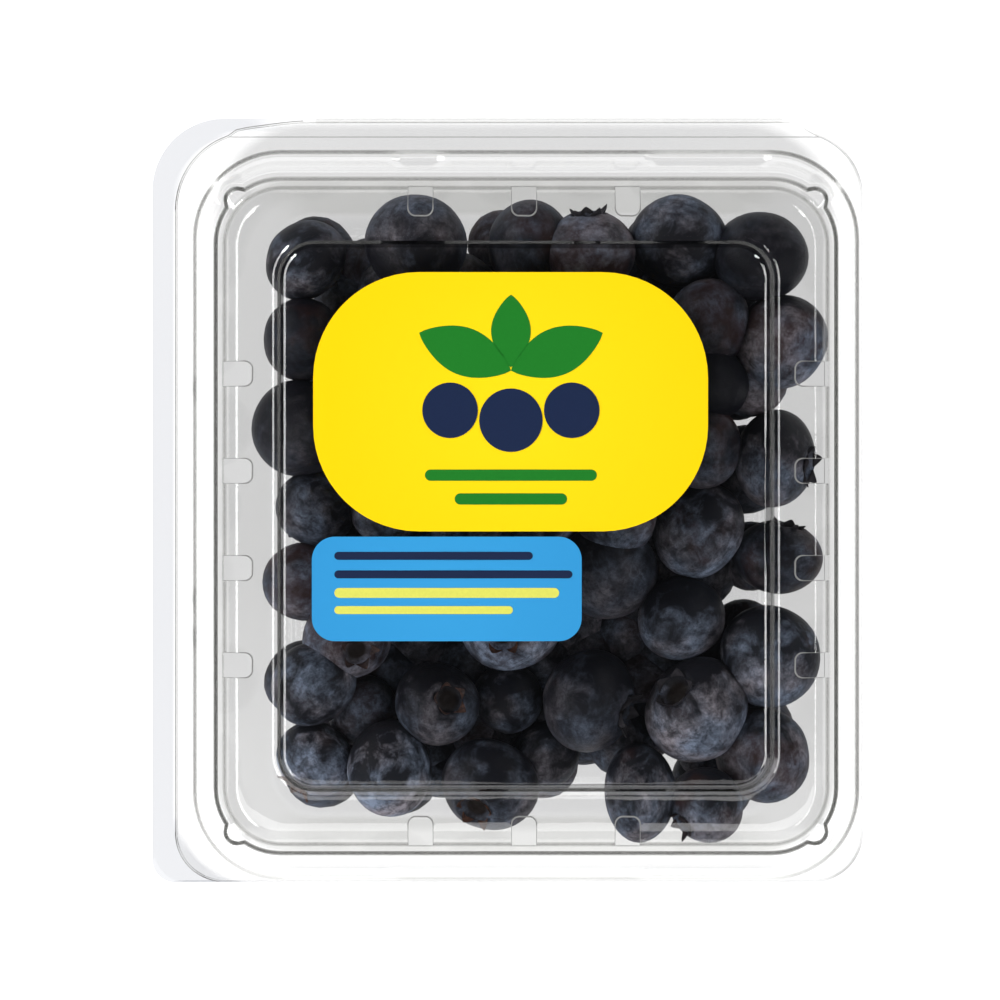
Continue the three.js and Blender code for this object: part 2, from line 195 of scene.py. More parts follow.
def tray_ring(wall_z, offset, z):
    """The tray wall's outline at wall_z, grown outwards by offset, as a ring at z."""
    width, length, corner = (size + offset for size in tray_inside(wall_z))
    box = {"left": -width, "right": width, "front": -length, "back": length}
    return at_height(rounded_outline(box, corner), z)


def eased(section):
    """Rings through a section of (ring, ease) items, whose corners are rounded over ease to each side."""
    result = [section[0][0]]
    for (before, _), (corner, ease), (after, _) in zip(section, section[1:], section[2:]):
        if ease == 0:
            result.append(corner)
            continue
        start, end = [
            corner + side * np.minimum(ease / np.linalg.norm(side, axis=1, keepdims=True), 0.5)
            for side in (before - corner, after - corner)
        ]
        for t in np.linspace(0, 1, EASE_STEPS + 1):
            result.append((1 - t) ** 2 * start + 2 * t * (1 - t) * corner + t * t * end)
    return filled_in(result + [section[-1][0]])


def filled_in(rings):
    """More rings between those that are far apart, and none where two lie together."""
    result = [rings[0]]
    for before, after in zip(rings, rings[1:]):
        gap = np.linalg.norm(after - before, axis=1).max()
        count = math.ceil(gap / LONGEST_STEP) if gap >= 1e-4 else 0
        result += [before + (after - before) * step / count for step in range(1, count + 1)]
    return np.array(result)


def blended_rings(inner, outer, shares, heights):
    """Rings between two outlines, as (ring, ease) items."""
    return [(at_height(inner * (1 - s) + outer * s, z), ease) for (s, ease), z in zip(shares, heights)]


def grid_normals(rings):
    """The surface's normal at each of its points."""
    along = np.gradient(rings, axis=0)
    padded = np.concatenate([rings[:, -1:], rings, rings[:, :1]], axis=1)
    normals = np.cross(along, (padded[:, 2:] - padded[:, :-2]) / 2)
    return normals / np.maximum(np.linalg.norm(normals, axis=2, keepdims=True), 1e-9)


def ring_faces(index):
    """Quads between rows of point numbers, each of which closes on itself."""
    onward = np.roll(index, -1, axis=1)
    return np.stack([index[:-1], index[1:], onward[1:], onward[:-1]], axis=-1).reshape(-1, 4).tolist()


def closed_surface(rings, end_points=()):
    """Points and faces of a solid through rings. Its ends are flat, or fans round the two end points."""
    index = np.arange(rings.size // 3).reshape(rings.shape[:2])
    faces = ring_faces(index)
    ends = [index[0].tolist(), index[-1][::-1].tolist()]
    if len(end_points) == 0:
        return rings.reshape(-1, 3), faces + ends
    for number, end in enumerate(ends):
        faces += [[index.size + number, a, b] for a, b in zip(end, end[1:] + end[:1])]
    return np.concatenate([rings.reshape(-1, 3), end_points]), faces


def shell_mesh(rings, thickness):
    """Points and faces of a closed sheet of that thickness, under rings that run outwards."""
    under = rings - thickness * grid_normals(rings)
    return closed_surface(np.concatenate([rings, under[::-1]]), [rings[0].mean(0), under[0].mean(0)])


def tube(path, radius, looped=True, sides=6):
    """Points and faces of a tube along a path, which closes on itself where looped."""
    following = np.roll(path, -1, axis=0) - np.roll(path, 1, axis=0) if looped else np.gradient(path, axis=0)
    along = following / np.linalg.norm(following, axis=1, keepdims=True)
    across = np.cross(along, (0.0, 0.0, 1.0))
    across /= np.maximum(np.linalg.norm(across, axis=1, keepdims=True), 1e-6)
    upward = np.cross(across, along)
    angles = np.linspace(2 * math.pi, 0, sides, endpoint=False)
    wide = np.broadcast_to(radius, len(path))[:, None]
    rings = np.stack([path + wide * (math.cos(a) * across + math.sin(a) * upward) for a in angles], axis=1)
    if not looped:
        return closed_surface(rings)
    index = np.arange(len(path) * sides).reshape(-1, sides)
    return rings.reshape(-1, 3), ring_faces(np.concatenate([index, index[:1]]))


def new_object(name, points, faces, material, sharp_degrees=SHARP):
    """An object in the row frame from millimetre points, smooth apart from edges sharper than that."""
    mesh = bpy.data.meshes.new(name)
    mesh.from_pydata(row(points).tolist(), [], faces)
    mesh.validate()
    mesh.materials.append(material)
    thing = bpy.data.objects.new(name, mesh)
    bpy.context.scene.collection.objects.link(thing)
    smooth_by_angle(mesh, sharp_degrees)
    return thing


def smooth_by_angle(mesh, degrees):
    mesh.shade_smooth()
    mesh.set_sharp_from_angle(angle=math.radians(degrees))


def add_values(mesh, name, values):
    """A number or a vector for each point, which the mesh's shader reads."""
    kind, field = ("FLOAT", "value") if values.ndim == 1 else ("FLOAT_VECTOR", "vector")
    attribute = mesh.attributes.new(name, kind, "POINT")
    attribute.data.foreach_set(field, values.astype(np.float32).ravel())


def joined(name, parts, material):
    """One object from several lots of points, faces and, where its shader reads any, named values."""
    points, faces, named, start = [], [], {}, 0
    for more_points, more_faces, *more_named in parts:
        points.append(more_points)
        faces += [[start + i for i in face] for face in more_faces]
        start += len(more_points)
        for key, value in dict(*more_named).items():
            named.setdefault(key, []).append(value if np.ndim(value) else np.full(len(more_points), value))
    thing = new_object(name, np.concatenate(points), faces, material, SMALL_SHARP)
    for key, values in named.items():
        add_values(thing.data, key, np.concatenate(values))
    return thing


# ---- materials ----


class Nodes:
    """A short way to write the nodes of a material or a world."""

    def __init__(self, owner, output="OutputMaterial"):
        owner.use_nodes = True
        self.owner = owner
        self.tree = owner.node_tree
        self.tree.nodes.clear()
        self.output = self.add(output)

    def add(self, kind, inputs=None, **settings):
        node = self.tree.nodes.new("ShaderNode" + kind)
        for key, value in settings.items():
            setattr(node, key, value)
        for key, value in (inputs or {}).items():
            if isinstance(value, bpy.types.NodeSocket):
                self.tree.links.new(value, node.inputs[key])
            else:
                node.inputs[key].default_value = value
        return node

    def maths(self, operation, a, b=0.0):
        return self.add("Math", {0: a, 1: b}, operation=operation).outputs[0]

    def times(self, a, b):
        return self.maths("MULTIPLY", a, b)

    def plus(self, a, b):
        return self.maths("ADD", a, b)

    def mixed(self, share, a, b):
        """Colour a, or b where share is 1."""
        return self.add("Mix", {0: share, 6: a, 7: b}, data_type="RGBA").outputs[2]

    def ranged(self, value, low, high, to_low=0.0, to_high=1.0):
        inputs = {0: value, 1: low, 2: high, 3: to_low, 4: to_high}
        return self.add("MapRange", inputs).outputs[0]

    def noise(self, vector, scale, detail=4.0, roughness=0.5, distortion=0.0):
        inputs = {"Vector": vector, "Scale": scale, "Detail": detail}
        inputs.update({"Roughness": roughness, "Distortion": distortion})
        return self.add("TexNoise", inputs).outputs["Fac"]

    def bump(self, strength, distance, height):
        inputs = {"Strength": strength, "Distance": distance, "Height": height}
        return self.add("Bump", inputs).outputs[0]

    def attribute(self, name, output="Fac"):
        return self.add("Attribute", attribute_name=name).outputs[output]

    def place(self, output="Object"):
        return self.add("TexCoord").outputs[output]

    def split(self, vector):
        return self.add("SeparateXYZ", {0: vector}).outputs

    def clear(self, colour):
        return self.add("BsdfTransparent", {"Color": colour}).outputs[0]

    def solid(self, colour, roughness, specular, **more):
        inputs = {"Base Color": colour, "Roughness": roughness, "Specular IOR Level": specular, **more}
        return self.add("BsdfPrincipled", inputs).outputs[0]

    def blend(self, share, a, b):
        """Shader a, or b where share is 1."""
        return self.add("MixShader", {0: share, 1: a, 2: b}).outputs[0]

    def finish(self, shader):
        self.tree.links.new(shader, self.output.inputs["Surface"])
        return self.owner


def material_nodes(name):
    return Nodes(bpy.data.materials.new(name))


# Each clear sheet lets through its tints where it is seen square on, at a slant and, on steep walls alone,
# edge on. The dark edge-on tint is painted shade, standing in for the dark lines along steep walls and bends.
# slants are the facings where the last tint begins and is full. gloss is the share of light that it mirrors,
# square on and at a slant. A pair of heights and a share give a band in which it is darker: painted shade.
CLEAR_TRAY = {
    "tints": [(0.985, 0.985, 0.988, 1), (0.97, 0.97, 0.97, 1), (0.88, 0.88, 0.87, 1)],
    # painted shade: the tray's sheet is darker from its floor up to its rim
    "slants": (0.68, 0.84), "gloss": (0.025, 0.050), "painted_dark_band": (-1.0, 24.6, 0.088),
    # painted shade: the table's shade seen through the bare flange strip
    "strip": (0.843, 0.847, 0.860, 1),  # where only the tray's flange lies on the table
}
CLEAR_LID = {
    "tints": [(0.997, 0.997, 0.995, 1), (0.93, 0.93, 0.92, 1), (0.12, 0.12, 0.11, 1)],
    # painted shade: the step round the lid's panel is much darker
    "slants": (0.66, 0.765), "gloss": (0.052, 0.080), "painted_dark_band": (33.9, 35.3, 0.55),
}
SLANT = (0.30, 0.66)  # facings between which the second tint takes over from the first
STEEP = (0.36, 0.50)  # the Z of a wall's normal up to which it is steep, and from which it isn't


def clear_sheet(name, looks):
    """Thin clear PET: see-through, greyer the more it is seen edge on, with a mirror gloss. The edge-on grey
    and the darker band are painted shade.
    """
    n = material_nodes(name)
    bump = n.bump(0.06, 0.0006, n.noise(n.place(), 140.0, detail=2.0, roughness=0.45))
    facing = n.add("LayerWeight", {"Blend": 0.5}).outputs["Facing"]
    square_on, slanted, edge_on_shade = looks["tints"]
    tint = n.mixed(n.ranged(facing, *SLANT), square_on, slanted)
    steep = n.ranged(n.maths("ABSOLUTE", n.split(n.place("Normal"))["Z"]), *STEEP, 1.0, 0.0)
    # Painted shade: steep walls seen edge on turn dark grey.
    tint = n.mixed(n.times(n.ranged(facing, *looks["slants"]), steep), tint, edge_on_shade)
    # Painted shade: the sheet is darker between two heights, on the lid's step and on the tray below its
    # flange.
    low, high, share = looks["painted_dark_band"]
    z = n.split(n.place())["Z"]
    above_low = n.ranged(z, low * MM, (low + 0.1) * MM)
    below_high = n.ranged(z, (high - 0.1) * MM, high * MM, 1.0, 0.0)
    tint = n.mixed(n.times(n.times(above_low, below_high), share), tint, (0, 0, 0, 1))
    # Painted shade where only the tray's flange lies over the table.
    if "strip" in looks:
        tint = n.mixed(n.attribute("single_layer"), tint, looks["strip"])
    mirror = n.add("BsdfGlossy", {"Color": (1, 1, 1, 1), "Roughness": 0.035, "Normal": bump}).outputs[0]
    gloss = n.plus(n.ranged(facing, 0.2, 0.86, *looks["gloss"]), n.ranged(facing, 0.90, 1.0, 0.0, 0.25))
    return n.finish(n.blend(gloss, n.clear(tint), mirror))


def painted_shade_line(name):
    """The cut edges and crease of a clear sheet, drawn as see-through grey: painted shade for the dark line
    along an edge.
    """
    n = material_nodes(name)
    grey = n.mixed(n.noise(n.place(), 900.0, detail=2.0), (0.24, 0.24, 0.235, 1), (0.36, 0.36, 0.355, 1))
    return n.finish(n.blend(0.72, n.clear((0.9, 0.9, 0.89, 1)), n.solid(grey, 0.3, 0.5)))


SKIN = {"blue": (0.0036, 0.0038, 0.0066, 1), "brown": (0.017, 0.0070, 0.0070, 1)}
PIT = (0.0060, 0.0032, 0.0024, 1)
WAX = {"cool": (0.205, 0.248, 0.340, 1), "warm": (0.282, 0.262, 0.300, 1)}


def berry_skin(name):
    """Near-black blue skin under a patchy, brushed wax bloom, browner on some berries. The bloom leans to
    each berry's lit side: painted light.
    """
    n = material_nodes(name)
    spot = n.attribute("berry_spot", "Vector")
    luck = n.attribute("berry_luck")
    patches = n.noise(spot, 1.6, detail=5.0, roughness=0.60, distortion=0.4)
    stretched = n.add("Mapping", {"Vector": spot, "Rotation": (0.5, 0.9, 0.0), "Scale": (1.8, 1.8, 3.6)})
    brushed = n.noise(stretched.outputs[0], 1.6, detail=6.0, roughness=0.65, distortion=0.4)
    mottle = n.noise(spot, 7.0, detail=6.0, roughness=0.70, distortion=0.4)
    specks = n.noise(spot, 26.0, detail=3.0, roughness=0.6)
    # Painted light: the bloom leans to each berry's lit side, and at random by luck.
    lean = n.plus(n.times(n.attribute("berry_front"), 0.20), n.times(luck, 0.08))
    cover = n.ranged(n.plus(patches, lean), 0.44, 0.74)
    worn = n.ranged(n.plus(n.times(brushed, 0.5), n.times(mottle, 0.5)), 0.40, 0.62)
    bloom = n.times(cover, n.ranged(worn, 0.0, 1.0, 0.16, 1.0))
    bloom = n.times(bloom, n.ranged(specks, 0.3, 0.6, 0.72, 1.0))
    bloom = n.times(n.plus(bloom, 0.015), n.attribute("berry_bloom"))
    brown = n.ranged(n.plus(n.times(luck, 0.5), n.noise(spot, 1.1)), 0.86, 1.02)
    warm = n.ranged(n.noise(spot, 0.9, detail=2.0), 0.42, 0.62)
    skin = n.mixed(brown, SKIN["blue"], SKIN["brown"])
    colour = n.mixed(bloom, skin, n.mixed(warm, WAX["cool"], WAX["warm"]))
    in_pit = n.ranged(n.attribute("berry_crown"), 0.06, 0.105, 1.0, 0.0)
    colour = n.mixed(in_pit, colour, PIT)
    bump = n.bump(0.30, 0.0004, n.plus(n.times(mottle, 0.6), n.times(specks, 0.4)))
    return n.finish(n.solid(colour, n.ranged(bloom, 0.0, 0.6, 0.45, 0.80), 0.10, Normal=bump))


def crown_leaf(name):
    """The dry lobes of a berry's crown."""
    n = material_nodes(name)
    grain = n.noise(n.attribute("berry_spot", "Vector"), 9.0, detail=5.0, roughness=0.65)
    dark = n.mixed(grain, (0.006, 0.006, 0.009, 1), (0.034, 0.030, 0.036, 1))
    brown = n.mixed(n.ranged(grain, 0.35, 0.65), (0.010, 0.005, 0.004, 1), (0.095, 0.040, 0.024, 1))
    colour = n.mixed(n.ranged(n.attribute("berry_luck"), 0.45, 0.8), dark, brown)
    return n.finish(n.solid(colour, 0.75, 0.25))


PRINT_ROUGHNESS = 0.42
PRINT_SPECULAR = 0.12


def print_stock(name, edge_colour, middle_colour, middle, reach):
    """A sticker's printed film, lighter round a middle point, with a faint grain."""
    n = material_nodes(name)
    centre = tuple(row([*middle, PANEL_Z]))
    offset = n.add("VectorMath", {0: n.place(), 1: centre}, operation="SUBTRACT").outputs[0]
    distance = n.add("VectorMath", {0: offset}, operation="LENGTH").outputs["Value"]
    colour = n.mixed(n.ranged(distance, 0.0, reach * MM, 1.0, 0.0), edge_colour, middle_colour)
    bump = n.bump(0.05, 0.0001, n.noise(n.place(), 2500.0, detail=2.0))
    return n.finish(n.solid(colour, PRINT_ROUGHNESS, PRINT_SPECULAR, Normal=bump))


def ink(name, colour):
    """Print on a sticker."""
    n = material_nodes(name)
    grain = n.noise(n.place(), 3000.0, detail=2.0)
    darker = tuple(0.6 * c for c in colour[:3]) + (1,)
    shade = n.mixed(n.ranged(grain, 0.35, 0.65, 0.0, 0.12), colour, darker)
    return n.finish(n.solid(shade, PRINT_ROUGHNESS, PRINT_SPECULAR))


# ---- the tray ----


def outside(points, box, corner):
    """How far points lie outside a rounded rectangle, seen from above."""
    middle = np.array([(box["left"] + box["right"]) / 2, (box["front"] + box["back"]) / 2])
    half = np.array([(box["right"] - box["left"]) / 2, (box["back"] - box["front"]) / 2]) - corner
    beyond = np.abs(points[:, :2] - middle) - half
    return np.linalg.norm(np.maximum(beyond, 0), axis=1) + np.minimum(beyond.max(1), 0) - corner


def tray_shell(material):
    z = TRAY_FLANGE_Z
    floor_z, rim_z = TRAY_FLOOR["z"], TRAY_RIM["z"]
    flange = rounded_outline(TRAY_FLANGE, TRAY_FLANGE_CORNERS)
    panel = tray_ring(floor_z, -4.9, FLOOR_PANEL_TOP)
    ridge_out = dome_ring(BEAD_MIDDLE + 0.75, z)
    section = [
        (panel * (0.02, 0.02, 1.0), 0),
        (panel, 0.7),
        (tray_ring(floor_z, -4.2, SHELL), 0.7),  # the foot
        (tray_ring(floor_z, -0.45, SHELL), 1.9),
        (tray_ring(rim_z, 0.0, rim_z + 0.6), 0.6),
        (dome_ring(-0.4, z), 0.4),
        (dome_ring(BEAD_MIDDLE - 0.75, z), 0.25),  # the ridge under the lid's bead
        (dome_ring(BEAD_MIDDLE - 0.4, z + 1.3), 0.35),
        (dome_ring(BEAD_MIDDLE + 0.4, z + 1.3), 0.35),
        (ridge_out, 0.3),
        *blended_rings(ridge_out[:, :2], flange, [(0.94, 0.3), (1.0, 0)], [z, z - 0.06]),
    ]
    points, faces = shell_mesh(eased(section), SHELL)
    tray = new_object("tray_shell", points, faces, material)
    # Where the flange strip gets its painted shade.
    bare = np.clip(outside(points, LID_FLANGE, LID_FLANGE_CORNERS[1]) / STRIP_FADE, 0.0, 1.0)
    left, right = STRIP_ENDS
    bare *= np.clip((right - points[:, 0]) / (right - left), 0.0, 1.0)
    add_values(tray.data, "single_layer", bare)
    return tray


# ---- the lid ----

DETENT = {"height": 1.25, "radius": 2.0}  # lobes of the dome's foot, one at each corner
# Small bumps beside the bead: [x, y, radius, height].
BEAD_BUMPS = [
    (-50.2, 19.2, 1.3, 0.55), (-50.2, -12.7, 1.3, 0.55), (-50.2, -18.4, 1.3, 0.55),
    (-48.1, 51.2, 1.25, 0.6), (48.4, 50.9, 1.25, 0.6),
]
# Shallow snap grooves across the bead at the back and front: [middle, half length].
BACK_GROOVES = [(27.9, 8.0), (-16.4, 2.6)]
FRONT_GROOVES = [(-28.3, 7.2), (27.8, 8.9)]
GROOVE = {"depth": 0.9, "half_width": 1.0, "soft": 1.6}


def tongue_outline(outline):
    """The lid's flange with the hinge tongue drawn out of its back edge."""
    x, y = outline[:, 0], outline[:, 1]
    reach = TONGUE["back"] - LID_FLANGE["back"]
    start = TONGUE["notch"] / reach
    rise = smooth_step((x - TONGUE["left"]) / (TONGUE["full_left"] - TONGUE["left"]))
    fall = smooth_step((TONGUE["right"] - x) / (TONGUE["right"] - TONGUE["full_right"]))
    at_back = (y > LID_FLANGE["back"] - 4.0) & (x > TONGUE["left"]) & (x < TONGUE["right"])
    result = outline.copy()
    result[:, 1] += np.where(at_back, (start + (1 - start) * rise) * fall * reach, 0.0)
    return result


def panel_ripple(x, y):
    """The panel's slight unevenness."""
    return 0.05 * np.sin(0.11 * x + 0.6) * np.sin(0.087 * y + 1.1) + 0.02 * np.sin(0.31 * x - 0.17 * y)


def bulged(ring):
    """A ring with a round detent that stands out from the middle of each corner."""
    height, radius = DETENT["height"], DETENT["radius"]
    result = ring.copy()
    for side in (1, -1):
        half = ring[:, 1] * side > 0
        quadrant = np.abs(ring[half, :2])
        apart = quadrant - quadrant[np.argmax(quadrant.sum(1))]
        along = (apart[:, 0] - apart[:, 1]) * math.sqrt(0.5)
        outward = (apart[:, 0] + apart[:, 1]) * math.sqrt(0.5)
        lobe = np.sqrt(np.maximum(radius**2 - along**2, 0)) + height - radius
        push = np.where(np.abs(along) < radius, np.maximum(lobe - outward, 0), 0) * math.sqrt(0.5)
        result[half, :2] += np.sign(ring[half, :2]) * push[:, None]
    return result


def lid_relief(rings):
    """Adds the small forms: bumps, snap grooves and the panel's unevenness."""
    x, y, z = rings[..., 0], rings[..., 1], rings[..., 2]
    beside_dome = z < SHOULDER_Z - 3.0
    lift = hump(np.maximum(PANEL_Z - z, 0), 0.8) * panel_ripple(x, y)
    for cx, cy, size, height in BEAD_BUMPS:
        lift += height * hump(np.hypot(x - cx, y - cy), size) * beside_dome
    back = DOME_HALF_LENGTH + LENGTH_GAIN["back"] * BEAD_MIDDLE
    front = -DOME_HALF_LENGTH - LENGTH_GAIN["front"] * BEAD_MIDDLE - 0.2
    for bead_y, grooves in ((back, BACK_GROOVES), (front, FRONT_GROOVES)):
        for middle, half_length in grooves:
            ends = hump(np.maximum(np.abs(x - middle) - half_length, 0), GROOVE["soft"])
            lift -= GROOVE["depth"] * ends * hump(np.abs(y - bead_y), GROOVE["half_width"])
    result = rings.copy()
    result[..., 2] += lift
    return result


def vent_outline(start):
    """A vent's outline, from start inwards to its reach, with a rounded square end."""
    half, corner = VENT["width"] / 2, VENT["corner"]
    arc = []
    for a in np.linspace(-math.pi / 2, math.pi / 2, 15):
        across = math.copysign(half - corner, a) + corner * math.sin(a)
        arc.append((VENT["reach"] - corner + corner * math.cos(a), across))
    return np.array([(start, -half), *arc, (start, half)])


def vent_places():
    """The foot of each vent and its turn."""

    def spaced(vents):
        first = vents["middle"] - (vents["count"] - 1) / 2 * vents["pitch"]
        return [first + i * vents["pitch"] for i in range(vents["count"])]

    for y in spaced(SIDE_VENTS):
        yield -DOME_HALF_WIDTH, y, 0.0
        yield DOME_HALF_WIDTH - VENTS_RIGHT_IN, y, math.pi
    for x in spaced(END_VENTS):
        yield x, DOME_HALF_LENGTH, -math.pi / 2
        yield x, -DOME_HALF_LENGTH, math.pi / 2


def vent_cutter(place):
    """An upright prism on a vent's outline, from outside the dome's foot inwards."""
    outline = set_down(vent_outline(-1.0), *place)
    heights = (SHOULDER_Z + 1.0, SHOULDER_Z - VENT["drop"])
    return closed_surface(np.array([at_height(outline, z) for z in heights]))


def cut_vents(lid, material):
    cutter = joined("vent_cutters", [vent_cutter(place) for place in vent_places()], material)
    modifier = lid.modifiers.new("vents", "BOOLEAN")
    modifier.operation = "DIFFERENCE"
    modifier.solver = "EXACT"
    modifier.object = cutter
    evaluated = lid.evaluated_get(bpy.context.evaluated_depsgraph_get())
    cut = bpy.data.meshes.new_from_object(evaluated)
    lid.modifiers.clear()
    lid.data = cut
    bpy.data.objects.remove(cutter)
    smooth_by_angle(cut, LID_SHARP)


def lid_shell(material):
    """The lid, its surface as rings and its flange's outline."""
    z = LID_FLANGE_Z
    channel_z, bead_z = z + 0.95, z + 1.95
    flange = tongue_outline(rounded_outline(LID_FLANGE, LID_FLANGE_CORNERS))
    panel = dome_ring(STEP_IN, PANEL_Z)
    bead_out = dome_ring(BEAD_MIDDLE + 1.30, z)
    shares = (0.05, 0.1, 0.15, 0.2, 0.3, 0.45, 0.6, 0.8, 0.955, 1.0)
    flange_heights = [z] * (len(shares) - 1) + [z - FLANGE_LIP]
    section = [
        (panel * (0.02, 0.02, 1.0), 0),
        (panel, 0.05),
        (dome_ring(-10.62, PANEL_Z - 0.185), 0.05),  # the step
        (dome_ring(-10.11, 35.34), 0),
        (dome_ring(-9.67, 33.84), 0),
        (dome_ring(-9.12, SHOULDER_Z + 0.155), 0.05),
        (dome_ring(STEP_OUT, SHOULDER_Z), 0.05),
        (dome_ring(-3.6, SHOULDER_Z), 0.8),  # the shoulder's outer edge and the dome's wall
        (dome_ring(-1.75, 31.85), 0.25),
        (dome_ring(-1.2, 30.25), 0.2),
        (bulged(dome_ring(-0.3, 29.35)), 0.2),
        (bulged(dome_ring(0.30, channel_z)), 0.15),  # the channel and the bead
        (bulged(dome_ring(0.75, channel_z)), 0.25),
        (dome_ring(BEAD_MIDDLE - 0.1, bead_z), 0.4),
        (dome_ring(BEAD_MIDDLE + 0.65, bead_z), 0.25),
        (bead_out, 0.2),
        *blended_rings(bead_out[:, :2], flange, [(share, 0) for share in shares], flange_heights),
    ]
    rings = lid_relief(eased(section))
    lid = new_object("lid_shell", *shell_mesh(rings, LID_SHELL), material, LID_SHARP)
    cut_vents(lid, material)
    return lid, rings, flange


def vent_rims(rings, material):
    """The fine rolled edge round each vent, thickest at its inner end, drawn in grey painted shade."""
    middle_right = int(np.argmin(np.abs(rings[0, :, 1]) - (rings[0, :, 0] > 0) * 1000))
    across, _, heights = rings[np.argsort(rings[:, middle_right, 0]), middle_right].T
    outline = vent_outline(VENT["foot"])
    steps = np.linspace(0, 1, 6, endpoint=False)[:, None]
    path = np.concatenate([a + (b - a) * steps for a, b in zip(outline, np.roll(outline, -1, axis=0))])
    height = np.interp(DOME_HALF_WIDTH - path[:, 0], across, heights) - LID_SHELL * 0.4
    radius = np.interp(path[:, 0], [VENT["reach"] - 2.0, VENT["reach"] - 0.6], VENT_RIM)
    paths = [np.column_stack([set_down(path, *place), height]) for place in vent_places()]
    return joined("vent_rims", [tube(path, radius) for path in paths], material)


def edge_lines(flange, material):
    """Fine lines of grey painted shade: the crease in front of the hinge, and the lid's cut edge at its left
    corners.
    """
    edge_z = LID_FLANGE_Z - FLANGE_LIP - LID_SHELL / 2
    xs = np.linspace(TONGUE["left"], TONGUE["right"], 60)
    crease = np.column_stack([xs, np.full(len(xs), HINGE_CREASE)])
    parts = [tube(at_height(crease, LID_FLANGE_Z), CREASE_RADIUS, looped=False)]
    for x, y, radius in CUT_EDGES.values():
        shown = (flange[:, 0] < x) & (flange[:, 1] * np.sign(y) > abs(y))
        parts.append(tube(at_height(flange[shown], edge_z), radius, looped=False))
    return joined("edge_lines", parts, material)


def hinge_strip(material):
    """The thin fold that joins the tray's back edge to the lid's tongue, and the heights of its two edges."""
    half_thickness = 0.1
    low, high = TRAY_FLANGE_Z - 0.28, LID_FLANGE_Z - 0.2
    start_y, bend_y, bulge = TONGUE["back"] - 0.35, TONGUE["back"] - 0.1, 0.42
    line = [(start_y, low)]
    for a in np.linspace(-math.pi / 2, math.pi / 2, 11):
        line.append((bend_y + bulge * math.cos(a), (low + high) / 2 + (high - low) / 2 * math.sin(a)))
    line = np.array(line + [(start_y, high)])
    tangent = np.gradient(line, axis=0)
    outward = np.column_stack([tangent[:, 1], -tangent[:, 0]])
    outward *= half_thickness / np.linalg.norm(outward, axis=1, keepdims=True)
    loop = np.concatenate([line + outward, (line - outward)[::-1]])
    xs = np.linspace(TONGUE["full_left"] + 1.0, TONGUE["full_right"] - 1.0, 40)
    points, faces = closed_surface(np.array([[(x, y, z) for y, z in loop] for x in xs]))
    return new_object("hinge_strip", points, faces, material), low, high


# ---- the stickers ----

STICKER = {"lift": 0.02, "thickness": 0.14}
PRINT = {"lift": 0.175, "layer": 0.02, "thickness": 0.03}


def plate(outline, base_z, thickness, rings):
    """Points and faces of a thin plate that follows the panel."""
    centre = outline.mean(0)
    shares = np.linspace(0.02, 1.0, rings + 1)
    top = np.array([at_height(centre + (outline - centre) * s, base_z + thickness) for s in shares])
    top[..., 2] += panel_ripple(top[..., 0], top[..., 1])
    return shell_mesh(top, thickness)


def sticker(name, box, material):
    outline = rounded_outline(box, box["corner"])
    parts = plate(outline, PANEL_Z + STICKER["lift"], STICKER["thickness"], rings=24)
    return new_object(name, *parts, material)


def disc(x, y, radius):
    angles = np.linspace(0, 2 * math.pi, 48, endpoint=False)
    return np.stack([x + radius * np.cos(angles), y + radius * np.sin(angles)], 1)


def leaf(x, y, length, width, turn):
    """A plain pointed leaf from (x, y)."""
    t = np.linspace(0, 1, 25)
    half = width / 2 * np.sin(math.pi * t) ** 0.8
    upper, lower = np.stack([t * length, half], 1), np.stack([t * length, -half], 1)
    return set_down(np.concatenate([upper[:-1], lower[:0:-1]])[::-1], x, y, turn)


def bar(x, y, length, width):
    """A bar with round ends, centred on (x, y)."""
    half = width / 2
    right = np.linspace(-math.pi / 2, math.pi / 2, 13)
    ends = [(length / 2 - half + half * math.cos(a), half * math.sin(a)) for a in right]
    ends += [(-px, -py) for px, py in ends]
    return np.array(ends) + (x, y)


def printed(name, outlines, material, layer=0):
    """Flat printed shapes on a sticker, as one object."""
    base_z = PANEL_Z + PRINT["lift"] + PRINT["layer"] * layer
    parts = [plate(outline, base_z, PRINT["thickness"], rings=3) for outline in outlines]
    return joined(name, parts, material)


# ---- where the berries lie ----

HEAP_FLOOR = 2.0
HEAP_TOP = 29.7
FRUIT_CLEARANCE = 0.4
CLOSE_PACKING = 0.94
SPREAD_ROUNDS = 80
LOWER_SEED = 20260611
LOWER_SPREAD = 0.97
LOWER_RADIUS = 6.2
LOWER_SIZES = (0.92, 0.16)  # the least share of that radius, and what a draw adds to it
FILLERS = {"count": 14, "tries": 4000, "half_width": 32, "half_length": 37, "squeeze": 0.78}
FILLER_SIZES = (0.86, 0.1)
